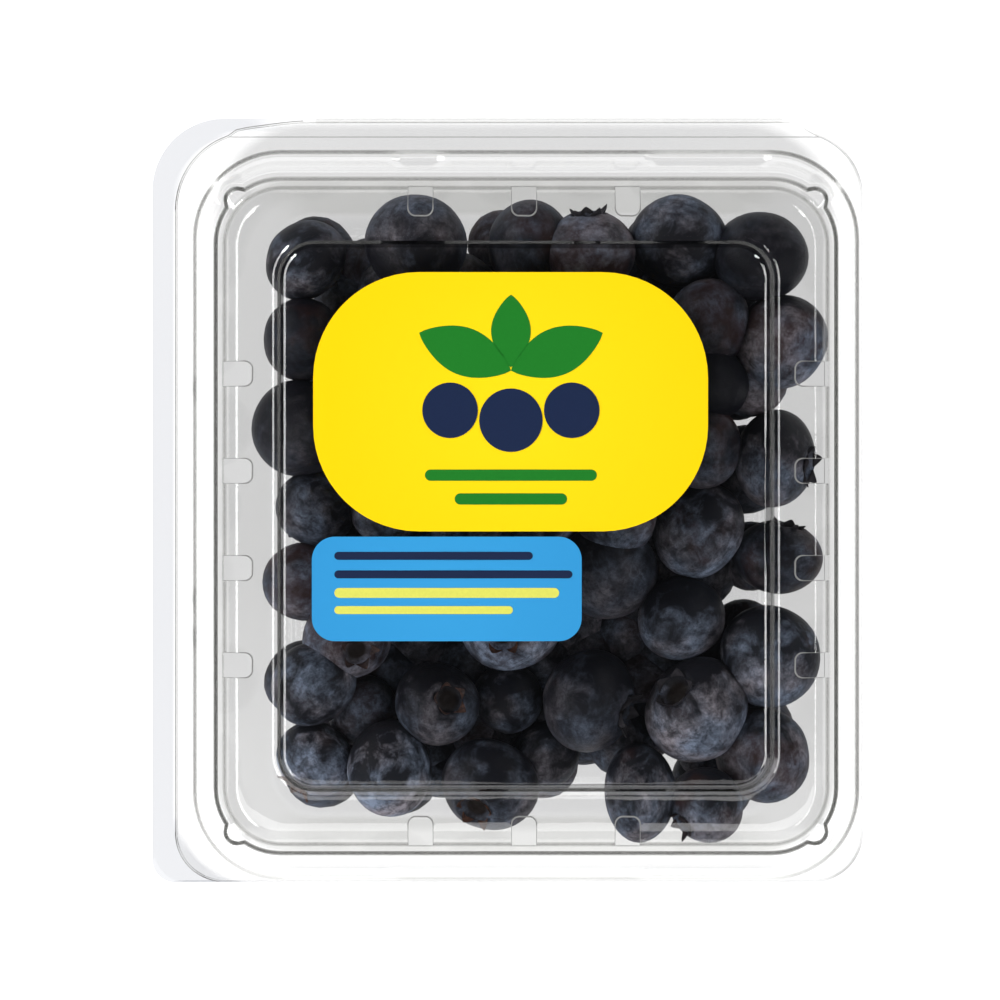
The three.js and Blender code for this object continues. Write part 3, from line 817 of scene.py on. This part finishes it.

# Berries as [x, y, diameter]. The sunken ones lie between the layers. Each upper one that shows also has its
# amount of bloom, and whether that lies on its front (1) or back (-1): the side where light falls on it, so
# the bloom there is partly painted light.
SUNKEN_BERRIES = [
    [-20.4, 34.2, 11.0], [-9.8, 34.8, 11.6], [34.5, 20.4, 11.0],
    [-2.7, -28.1, 10.8], [3.1, -36.8, 10.4], [14.6, -34.9, 10.2], [-25.0, -29.9, 10.6],
]
UPPER_BERRIES = [
    (-33.4, 39.3, 12.2, 0.75, 0), (-16.9, 41.5, 15.4, 0.55, -1), (0.0, 41.4, 14.0, 0.25, -1),
    (9.8, 40.3, 14.0, 0.6, -1), (23.9, 42.0, 14.0, 0.85, -0.5), (36.3, 40.0, 13.8, 0.15, 0),
    (-33.7, 27.1, 12.6, 0.12, 0.7), (38.9, 26.8, 13.8, 0.9, 0.7), (-34.5, 13.4, 14.6, 0.18, 0.8),
    (39.2, 8.7, 13.8, 0.8, 0.8), (-32.0, 1.2, 11.6, 0.6, 0.5), (39.4, -6.4, 12.8, 0.35, 0),
    (-33.5, -10.1, 12.2, 0.6, 0.5), (-32.6, -25.6, 12.8, 1.05, 0), (37.4, -21.2, 15.0, 1.2, 0.6),
    (-31.4, -37.7, 11.8, 1.5, 0.6), (36.3, -36.6, 14.4, 0.75, 0.5), (-20.9, -38.6, 13.4, 1.9, 0.8),
    (-5.5, -40.7, 14.4, 0.65, 0.5), (16.5, -42.2, 12.6, 0.95, 0.6), (28.2, -43.5, 11.6, 0.8, 1),
    (-27.3, -18.6, 13.2, 1.05, 0.5), (-13.6, -28.7, 12.8, 0.65, 1), (9.5, -28.2, 15.4, 0.45, 0.8),
    (26.2, -29.7, 15.6, 1.5, 1), (-2.4, -16.2, 15.2, 1.4, 0.5), (23.8, -15.6, 13.2, 0.9, 1),
    (12.7, -8.5, 14.8, 0.4, 1), (26.5, -2.1, 14.2, 1.0, 0.6), (26.5, 10.8, 13.0, 0.35, 1),
    (27.9, 29.6, 13.2, 0.35, -0.5), (28.4, 20.6, 11.4, 0.0, 0),
]
# Rows of upper berries that the stickers cover, with every other one a little further forward.
COVERED_ROWS = [
    {"y": 27.0, "first": -20.8, "last": 16.0, "count": 4},
    {"y": 14.2, "first": -22.4, "last": 14.6, "count": 4},
    {"y": 1.6, "first": -20.6, "last": 14.0, "count": 4},
    {"y": -9.4, "first": -21.4, "last": -6.2, "count": 2},
]
COVERED_DIAMETER = 12.8
COVERED_STAGGER = -1.2
USUAL_BLOOM = (0.7, 0.5)
HIDDEN = {"half_width": 33, "front": -38, "back": 37, "step": 1.5, "z": 10.5, "radius": 6.0, "most": 90}
HIDDEN_OVERLAP = 1.2  # how far a hidden berry may reach under those above it

CLEARING_ROUNDS = 6
GAP_SLACK = 0.4  # how far a berry may still reach into a gap where the floor shows
# Where the floor shows between the berries, as [x, y, radius].
FLOOR_GAPS = [
    [-36.0, 33.7, 1.2], [-36.0, 20.9, 1.2], [-36.8, 6.3, 1.2], [-36.0, -4.4, 1.2], [-33.7, -16.6, 1.2],
    [-34.5, -32.2, 1.2], [-13.5, -44.0, 1.0], [9.2, -38.6, 1.2], [10.0, -42.5, 2.2], [22.2, -38.6, 0.8],
    [21.8, -42.0, 0.8], [34.2, 14.6, 0.6], [35.2, -0.6, 0.6], [33.0, -12.2, 0.6],
]
# Berries low down that narrow those gaps, as [x, y, radius].
TUCKED_BERRIES = [
    [32.8, 19.8, 5.0], [34.2, 7.1, 6.9], [34.9, -6.2, 5.2],
    [33.9, -18.3, 5.5], [-13.2, -38.4, 5.0], [9.0, -34.0, 4.6],
]


def keep_in_tray(berry):
    """Moves a berry sideways until it is clear of the tray's walls at its own height."""
    room = berry["r"] + FRUIT_CLEARANCE
    reach_x, reach_y, bend = [size - room for size in tray_inside(berry["z"])]
    berry["x"] = max(-reach_x, min(reach_x, berry["x"]))
    berry["y"] = max(-reach_y, min(reach_y, berry["y"]))
    bend = max(bend, 0)
    over_x = abs(berry["x"]) - (reach_x - bend)
    over_y = abs(berry["y"]) - (reach_y - bend)
    over = math.hypot(over_x, over_y)
    if over_x > 0 and over_y > 0 and over > bend:
        berry["x"] -= math.copysign(1, berry["x"]) * over_x * (1 - bend / over)
        berry["y"] -= math.copysign(1, berry["y"]) * over_y * (1 - bend / over)


def resting_height(berry, placed):
    """The height at which a berry comes to rest on the floor and on the berries already there."""
    z = HEAP_FLOOR + berry["r"]
    for other in placed:
        reach = CLOSE_PACKING * (berry["r"] + other["r"])
        apart = (berry["x"] - other["x"]) ** 2 + (berry["y"] - other["y"]) ** 2
        if apart < reach * reach:
            z = max(z, other["z"] + math.sqrt(reach * reach - apart))
    return min(z, HEAP_TOP - berry["r"])


def spread_layer(layer):
    """Pushes the berries of one layer apart until they only touch."""
    for _ in range(SPREAD_ROUNDS):
        for first, second in combinations(layer, 2):
            dx = second["x"] - first["x"]
            dy = second["y"] - first["y"]
            apart = math.sqrt(dx * dx + dy * dy)
            wanted = CLOSE_PACKING * (first["r"] + second["r"])
            if 0 < apart < wanted:
                push = (0.5 * (wanted - apart)) / apart
                first["x"] -= dx * push
                first["y"] -= dy * push
                second["x"] += dx * push
                second["y"] += dy * push
        for berry in layer:
            keep_in_tray(berry)


def upper_berries():
    """The upper layer: the berries that show, then those that the stickers cover."""
    places = list(UPPER_BERRIES)
    for line in COVERED_ROWS:
        for i in range(line["count"]):
            x = line["first"] + (i * (line["last"] - line["first"])) / (line["count"] - 1)
            places.append((x, line["y"] + (COVERED_STAGGER if i % 2 else 0), COVERED_DIAMETER, *USUAL_BLOOM))
    return [
        {"x": x, "y": y, "r": diameter / 2, "layer": "upper", "index": index, "bloom": bloom}
        for index, (x, y, diameter, *bloom) in enumerate(places)
    ]


def lower_berries(upper):
    """The lower layer: a berry under each upper one, and more where there is room between them."""
    draws = seeded_draws(LOWER_SEED)
    lower = []

    def put(x, y, r):
        lower.append({"x": x, "y": y, "z": HEAP_FLOOR + r, "r": r, "layer": "lower"})

    def drawn_radius(least, more):
        return LOWER_RADIUS * (least + more * next(draws))

    for berry in upper:
        put(LOWER_SPREAD * berry["x"], berry["y"], drawn_radius(*LOWER_SIZES))
    spread_layer(lower)
    wanted = len(lower) + FILLERS["count"]
    for _ in range(FILLERS["tries"]):
        if len(lower) >= wanted:
            break
        r = drawn_radius(*FILLER_SIZES)
        x = (2 * next(draws) - 1) * FILLERS["half_width"]
        y = (2 * next(draws) - 1) * FILLERS["half_length"]
        if all(math.hypot(x - b["x"], y - b["y"]) > FILLERS["squeeze"] * (r + b["r"]) for b in lower):
            put(x, y, r)
    spread_layer(lower)
    return lower


def berry_places():
    """Every berry, the lower layer first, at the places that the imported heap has."""
    upper = upper_berries()
    placed = lower_berries(upper)
    sunken = [{"x": x, "y": y, "r": diameter / 2, "layer": "sunken"} for x, y, diameter in SUNKEN_BERRIES]
    for berry in sunken + upper:
        berry["z"] = resting_height(berry, placed)
        keep_in_tray(berry)
        placed.append(berry)
    return placed


def clear_gaps(placed):
    """Moves what lies low out of the gaps where the floor shows, and leaves out what can't go elsewhere."""
    kept = []
    for berry in placed:
        if berry["layer"] == "upper":
            kept.append(berry)
            continue
        for _ in range(CLEARING_ROUNDS):
            for x, y, radius in FLOOR_GAPS:
                dx, dy = berry["x"] - x, berry["y"] - y
                apart = math.hypot(dx, dy)
                wanted = berry["r"] + radius
                if apart < wanted:
                    berry["x"] += dx / apart * (wanted - apart)
                    berry["y"] += dy / apart * (wanted - apart)
            keep_in_tray(berry)
        clear = [math.hypot(berry["x"] - x, berry["y"] - y) - radius for x, y, radius in FLOOR_GAPS]
        if min(clear) > berry["r"] - GAP_SLACK:
            kept.append(berry)
    return kept


def hidden_berries(placed):
    """More berries low down: those tucked in by name, then one in each widest hole that is left."""
    low = {"z": HIDDEN["z"], "layer": "hidden"}
    hidden = [{"x": x, "y": y, "r": r, **low} for x, y, r in TUCKED_BERRIES]
    xs = np.arange(-HIDDEN["half_width"], HIDDEN["half_width"] + 0.1, HIDDEN["step"])
    ys = np.arange(HIDDEN["front"], HIDDEN["back"] + 0.1, HIDDEN["step"])
    spots = np.array([(x, y) for x in xs for y in ys])
    for x, y, radius in FLOOR_GAPS:
        spots = spots[np.hypot(spots[:, 0] - x, spots[:, 1] - y) > radius + HIDDEN["radius"]]
    discs = [(b["x"], b["y"], b["r"]) for b in placed + hidden if b["layer"] != "lower"]
    for _ in range(HIDDEN["most"]):
        gaps = np.min([np.hypot(spots[:, 0] - x, spots[:, 1] - y) - r for x, y, r in discs], axis=0)
        widest = int(np.argmax(gaps))
        if gaps[widest] < -HIDDEN_OVERLAP:
            break
        x, y = spots[widest]
        hidden.append({"x": float(x), "y": float(y), "r": HIDDEN["radius"], **low})
        discs.append((x, y, HIDDEN["radius"]))
    return hidden


# ---- how the berries look ----

SWELL = 1.03  # berries are this much larger than their named diameters across, and flatter along the crown
HEAP_SEED = 4021
SEED_STEP = 48271000

# How the upper berries that show differ from round ones, by index: [x and y offset, x and y stretch].
ROUND = (0.0, 0.0, 1.0, 1.0)
RESHAPED = {
    0: (-0.4, 0.0, 1.04, 0.98), 2: (0.6, 0.0, 0.93, 1.0), 4: (-0.4, 0.1, 1.07, 1.02),
    5: (-0.35, -0.4, 1.0, 1.0), 6: (-0.4, 0.0, 1.0, 1.0), 7: (0.1, 0.0, 1.0, 1.05),
    9: (0.2, 0.1, 0.98, 1.08), 10: (-0.3, 0.0, 1.05, 1.0), 11: (0.3, 0.0, 1.06, 0.93),
    12: (-0.3, 0.0, 1.05, 1.0), 14: (0.0, -0.3, 1.02, 1.05), 15: (-0.8, 0.5, 1.0, 1.0),
    17: (0.0, -0.1, 0.97, 1.08), 18: (0.0, -0.4, 1.02, 1.0), 19: (0.9, 0.0, 0.86, 1.16),
    20: (-0.6, -0.6, 1.0, 1.0),
}
# Crowns that the photo shows, by index: [direction of the crown], raggedness 0 to 1, brown 0 to 1.
SHOWN_CROWNS = {
    3: ((-0.05, 0.98, 0.18), 0.5, 0.1),
    8: ((0.35, 0.20, -0.92), 0.2, 0.2),
    9: ((0.92, -0.18, 0.35), 0.2, 0.1),
    11: ((0.25, 0.95, 0.15), 0.15, 0.1),
    14: ((0.30, -0.20, -0.90), 0.3, 0.3),
    15: ((-0.55, -0.75, 0.25), 0.9, 0.9),
    18: ((-0.38, -0.62, 0.70), 0.3, 0.95),
    19: ((0.10, -0.30, -0.95), 0.3, 0.3),
    20: ((-0.70, -0.55, 0.35), 0.8, 0.5),
    21: ((0.30, -0.35, 0.85), 0.4, 0.6),
    22: ((0.35, 0.15, 0.90), 0.15, 0.7),
    23: ((0.88, -0.28, 0.30), 0.5, 0.3),
    24: ((-0.52, 0.45, 0.70), 0.0, 0.2),
    25: ((-0.20, -0.30, 0.93), 0.5, 0.9),
}
FINE = (30, 40)  # rings and sides of a berry that shows
COARSE = (16, 22)


def turn_to(direction, roll):
    """A 3 by 3 matrix that turns +Z to direction, after a roll about it."""
    quaternion = Vector((0, 0, 1)).rotation_difference(Vector(direction).normalized())
    return np.array((quaternion.to_matrix() @ Matrix.Rotation(roll, 3, "Z")))


def berry_surface(r, draws, rings, sides, flatness):
    """An uneven berry with a crown pit at +Z and a stem dimple at -Z: points, faces and polar angles."""
    fine_to = 0.62  # the crown's part of the polar angle has the finest rings
    near = np.linspace(0.0, fine_to, rings // 3, endpoint=False)
    polar = np.concatenate([near, np.linspace(fine_to, math.pi, rings - len(near))])[1:-1]
    around = np.linspace(0, 2 * math.pi, sides, endpoint=False)
    theta, phi = np.meshgrid(polar, around, indexing="ij")
    phases = [2 * math.pi * next(draws) for _ in range(4)]
    oval = 0.022 * np.sin(2 * phi + phases[0]) + 0.014 * np.sin(3 * phi + phases[1])
    swell = 1 + oval * np.sin(theta)
    swell += 0.016 * np.sin(2.3 * theta + phases[2]) + 0.008 * np.sin(5 * phi + phases[3]) * np.sin(2 * theta)
    pit_edge = 0.34 + 0.03 * np.cos(5 * phi + phases[1])
    inside = 1 / (1 + np.exp((theta - pit_edge) / 0.035))
    rim = np.exp(-(((theta - pit_edge - 0.05) / 0.075) ** 2))
    dimple = np.exp(-(((math.pi - theta) / 0.28) ** 2))
    height = np.cos(theta) * flatness * (1 - 0.05 * dimple) - 0.17 * inside + 0.035 * rim
    unit = [np.sin(theta) * np.cos(phi), np.sin(theta) * np.sin(phi), height]
    ends = [[0, 0, flatness - 0.18], [0, 0, -flatness * 0.95]]
    points, faces = closed_surface(np.stack(unit, -1) * swell[..., None], ends)
    return r * points, faces, np.concatenate([theta.reshape(-1), [0.0, math.pi]]) / math.pi


def lobe_faces(grid):
    """Faces of a thin closed lobe: the grid's, the same on its under side and a rim between them."""
    quads = np.stack([grid[:-1, :-1], grid[1:, :-1], grid[1:, 1:], grid[:-1, 1:]], -1).reshape(-1, 4)
    rim = np.concatenate([grid[:, 0], grid[-1, 1:], grid[-2::-1, -1], grid[0, -2:0:-1]])
    onward = np.roll(rim, -1)
    sides = np.stack([rim, rim + grid.size, onward + grid.size, onward], -1)
    return np.concatenate([quads, quads[:, ::-1] + grid.size, sides])


def crown_lobes(r, draws, ragged, flatness):
    """Five dry lobes round the crown's pit, as points and faces. Ragged crowns lack some."""
    lobes, rows, columns = 5, 5, 5
    t, s = np.meshgrid(np.linspace(0, 1, rows), np.linspace(-1, 1, columns), indexing="ij")
    lobe_form = lobe_faces(np.arange(rows * columns).reshape(rows, columns))
    points, faces = [], []
    spin = 2 * math.pi * next(draws)
    for lobe in range(lobes):
        if ragged > 0.6 and next(draws) < 0.12:
            continue
        angle = spin + 2 * math.pi * (lobe + ragged * 0.22 * (next(draws) - 0.5)) / lobes
        length = r * (0.17 + 0.12 * ragged) * (0.75 + 0.5 * next(draws))
        width = r * (0.30 - 0.06 * ragged) * (0.85 + 0.3 * next(draws))
        lean = math.radians(48 + 34 * (next(draws) - 0.3) * (0.4 + ragged))
        bend = lean + 0.5 * (next(draws) - 0.3) * t
        cup = 0.10 * r * s * s * (1 - t)
        out = 0.335 * r + length * t * np.cos(bend) - 0.6 * cup
        up = r * (0.945 * flatness - 0.02) + 0.8 * length * t * np.sin(bend) + 0.2 * cup
        across = s * (width / 2 * (1 - t) ** 0.75 + 0.012 * r)
        x = out * math.cos(angle) - across * math.sin(angle)
        y = out * math.sin(angle) + across * math.cos(angle)
        faces += (lobe_form + sum(map(len, points))).tolist()
        points += [np.stack([x, y, up + half], -1).reshape(-1, 3) for half in (0.0175 * r, -0.0175 * r)]
    return np.concatenate(points), faces


def blueberries(skin, lobe_material):
    """The berries and their crowns, each with the values that the shaders read."""
    berries, crowns = [], []
    places = clear_gaps(berry_places())
    places += hidden_berries(places)
    for number, berry in enumerate(places):
        r, index = berry["r"], berry.get("index", 100 + number)
        draws = seeded_draws(HEAP_SEED + SEED_STEP * index)
        flatness = 0.86 + 0.08 * next(draws)
        sideways = 2 * math.pi * next(draws)
        downward = (math.cos(sideways), math.sin(sideways), -0.7 - 0.8 * next(draws))
        direction, ragged, brown = SHOWN_CROWNS.get(index, (downward, 0.4, next(draws)))
        turn = turn_to(direction, 2 * math.pi * next(draws))
        dx, dy, *stretch = RESHAPED.get(index, ROUND)
        bloom, side = berry.get("bloom", USUAL_BLOOM)
        rings, sides = FINE if berry["layer"] == "upper" else COARSE
        points, faces, angles = berry_surface(r * SWELL, draws, rings, sides, flatness)
        offset = 40 * np.array([next(draws) for _ in range(3)])

        def settled(points):
            return points @ turn.T * (*stretch, 1.0) + (berry["x"] + dx, berry["y"] + dy, berry["z"])

        turned = settled(points)
        # Painted light: which side of the berry is lit, where its bloom gathers.
        front = np.clip((berry["y"] + dy - turned[:, 1]) / r, -1, 1) * side
        looks = {"berry_luck": next(draws), "berry_bloom": bloom, "berry_crown": angles, "berry_front": front}
        berries.append((turned, faces, {"berry_spot": points / r + offset, **looks}))
        if berry["layer"] in ("upper", "sunken"):
            points, faces = crown_lobes(r, draws, ragged, flatness)
            crowns.append((settled(points), faces, {"berry_spot": points / r + offset, "berry_luck": brown}))
    return joined("blueberries", berries, skin), joined("blueberry_crowns", crowns, lobe_material)


# ---- floor, light and camera ----

FRAME_WIDTH = 152.5  # what the picture's width spans at the flange
LOOK_AT = (-1.2, 0.07)  # under the picture's middle, in the row frame
LENS = 260.0
SENSOR = 36.0
STUDIO_DARK = (0.020, 0.021, 0.023, 1)
STUDIO_PALE = (0.80, 0.81, 0.83, 1)

# The table's glow clear of the punnet, and under its front edge, front and middle. The lower glow under the
# punnet is painted shade. The rest is in metres.
TABLE_GLOW = {"clear": 1.15, "front_edge": 1.10, "front": 0.91, "middle": 0.78}
TABLE_RAMP = (-0.040, -0.010)  # Y over which the glow falls from front to middle
TABLE_EDGE = (-0.0520, -0.0506)  # Y over which it falls from front edge to front
TABLE_SHADE = {"half": (0.0474, 0.0576), "middle_y": 0.0003, "corner": 0.0135, "soft": 0.0018}
TABLE_HALF = 4.0

# Each softbox: name, place in metres, width and height in metres, power in watts.
SOFTBOXES = [
    ("front_box", (0.0, -0.60, 1.13), (2.6, 1.03), 13.2),
    ("left_box", (-0.75, 0.0, 0.45), (2.4, 0.30), 13.0),
    ("right_box", (0.75, 0.0, 0.42), (2.4, 0.12), 5.4),
    ("left_glint", (-0.55, 0.55, 0.50), (0.16, 0.10), 1.2),
    ("right_glint", (0.55, 0.55, 0.50), (0.12, 0.08), 0.8),
]


def light_table(name):
    """A white light table. Under the punnet it is dimmer towards the back: painted shade, lightest under its
    front edge.
    """
    n = material_nodes(name)
    grain = n.ranged(n.noise(n.place(), 40.0, detail=2.0), 0.3, 0.7, 0.0, 0.02)
    colour = n.mixed(grain, (0.13, 0.13, 0.13, 1), (0.12, 0.12, 0.12, 1))
    spot = n.split(n.place())
    # Painted shade: the glow is lower under the punnet, most towards its middle.
    under = n.ranged(spot["Y"], *TABLE_RAMP, TABLE_GLOW["front"], TABLE_GLOW["middle"])
    edge = n.ranged(spot["Y"], *TABLE_EDGE, TABLE_GLOW["front_edge"] - TABLE_GLOW["front"], 0.0)
    under = n.plus(under, edge)
    beyond = []
    for axis, middle, half in zip("XY", (SHIFT[0] * MM, TABLE_SHADE["middle_y"]), TABLE_SHADE["half"]):
        apart = n.maths("ABSOLUTE", n.maths("SUBTRACT", spot[axis], middle))
        past = n.maths("MAXIMUM", n.maths("SUBTRACT", apart, half - TABLE_SHADE["corner"]), 0.0)
        beyond.append(n.times(past, past))
    past_corner = n.maths("SQRT", n.plus(*beyond))
    uncovered = n.ranged(past_corner, TABLE_SHADE["corner"], TABLE_SHADE["corner"] + TABLE_SHADE["soft"])
    brighter = n.times(uncovered, n.maths("SUBTRACT", TABLE_GLOW["clear"], under))
    glow = n.add("Emission", {"Color": (1, 1, 1, 1), "Strength": n.plus(under, brighter)}).outputs[0]
    lit = n.add("BsdfDiffuse", {"Color": colour}).outputs[0]
    return n.finish(n.add("AddShader", {0: lit, 1: glow}).outputs[0])


def add_camera():
    data = bpy.data.cameras.new("camera")
    data.lens = LENS
    data.sensor_width = SENSOR
    data.clip_end = 10.0
    camera = bpy.data.objects.new("camera", data)
    distance = FRAME_WIDTH * LENS / SENSOR
    camera.location = (LOOK_AT[0] * MM, LOOK_AT[1] * MM, (LID_FLANGE_Z + distance) * MM)
    bpy.context.scene.collection.objects.link(camera)
    bpy.context.scene.camera = camera


def add_softbox(name, place, size, power):
    """An area light at place (metres) that faces the punnet."""
    data = bpy.data.lights.new(name, "AREA")
    data.shape = "RECTANGLE"
    data.size, data.size_y = size
    data.energy = power
    light = bpy.data.objects.new(name, data)
    light.location = place
    light.rotation_euler = (Vector((0, 0, 0.02)) - Vector(place)).to_track_quat("-Z", "Y").to_euler()
    light.visible_camera = False
    bpy.context.scene.collection.objects.link(light)


def add_world():
    """A dark studio whose walls are pale where the camera looks straight at them."""
    n = Nodes(bpy.data.worlds.new("studio"), "OutputWorld")
    looked_at = n.add("LightPath").outputs["Is Camera Ray"]
    dark, pale = [n.add("Background", {"Color": colour}).outputs[0] for colour in (STUDIO_DARK, STUDIO_PALE)]
    bpy.context.scene.world = n.finish(n.blend(looked_at, dark, pale))


def add_floor():
    mesh = bpy.data.meshes.new("floor")
    corners = [(x * TABLE_HALF, y * TABLE_HALF, 0) for x, y in ((-1, -1), (1, -1), (1, 1), (-1, 1))]
    mesh.from_pydata(corners, [], [[0, 1, 2, 3]])
    mesh.materials.append(light_table("floor"))
    floor = bpy.data.objects.new("floor", mesh)
    bpy.context.scene.collection.objects.link(floor)


def add_studio():
    add_camera()
    add_world()
    add_floor()
    for softbox in SOFTBOXES:
        add_softbox(*softbox)
    scene = bpy.context.scene
    scene.view_settings.view_transform = "Standard"
    scene.cycles.transparent_max_bounces = 24
    scene.cycles.max_bounces = 8


# ---- the whole ----


def build_pack():
    tray_material = clear_sheet("clear_tray", CLEAR_TRAY)
    lid_material = clear_sheet("clear_lid", CLEAR_LID)
    # The vent rims, hinge crease and cut edges are grey lines of painted shade.
    shade_line_material = painted_shade_line("cut_edge_shade")
    tray = tray_shell(tray_material)
    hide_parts("tray")
    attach(tray, "tray")
    lid, rings, flange = lid_shell(lid_material)
    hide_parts("lid")
    for piece in (lid, vent_rims(rings, shade_line_material), edge_lines(flange, shade_line_material)):
        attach(piece, "lid")
    strip, low, high = hinge_strip(lid_material)
    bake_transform(strip)


def build_fruit():
    berries, crowns = blueberries(berry_skin("berry_skin"), crown_leaf("berry_crown"))
    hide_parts("berries")
    for piece in (berries, crowns):
        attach(piece, "tray")


def build_stickers():
    yellow = print_stock("label_yellow", (1.0, 0.645, 0.001, 1), (1.0, 0.71, 0.006, 1), (0.0, 18.0), 30.0)
    blue = print_stock("label_blue", (0.031, 0.29, 0.62, 1), (0.037, 0.325, 0.67, 1), (-12.0, -11.0), 24.0)
    green = ink("ink_green", (0.012, 0.19, 0.018, 1))
    navy = ink("ink_navy", (0.01, 0.02, 0.06, 1))
    pale = ink("ink_pale", (0.72, 0.72, 0.12, 1))
    main = sticker("sticker_main", MAIN_LABEL, yellow)
    small = sticker("sticker_small", SMALL_LABEL, blue)
    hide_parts("label_main")
    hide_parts("label_small")
    leaves = [leaf(-2.3, 22.0, 15.0, 7.2, turn) for turn in (2.75, 0.39)]
    leaves.append(leaf(-2.3, 22.5, 11.0, 6.0, 1.57))
    dots = [disc(-11.5, 16.0, 4.2), disc(-2.3, 14.5, 4.8), disc(6.9, 16.0, 4.2)]
    lines = [bar(-2.3, 6.2, 26.0, 1.7), bar(-2.3, 2.6, 17.0, 1.7)]
    pale_lines = [bar(-12.0, -11.6, 34.0, 1.5), bar(-15.5, -14.2, 27.0, 1.2)]
    navy_lines = [bar(-14.0, -6.0, 30.0, 1.2), bar(-11.0, -8.8, 36.0, 1.2)]
    groups = [
        ("print_leaves", leaves, green, "label_yellow", 0),
        ("print_dots", dots, navy, "label_yellow", 1),
        ("print_lines", lines, green, "label_yellow", 0),
        ("print_pale_lines", pale_lines, pale, "label_blue", 0),
        ("print_navy_lines", navy_lines, navy, "label_blue", 0),
    ]
    for piece, slot in [(main, "label_yellow"), (small, "label_blue")]:
        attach(piece, "lid")
    for name, outlines, material, slot, layer in groups:
        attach(printed(name, outlines, material, layer), "lid")


add_studio()
build_pack()
build_fruit()
build_stickers()
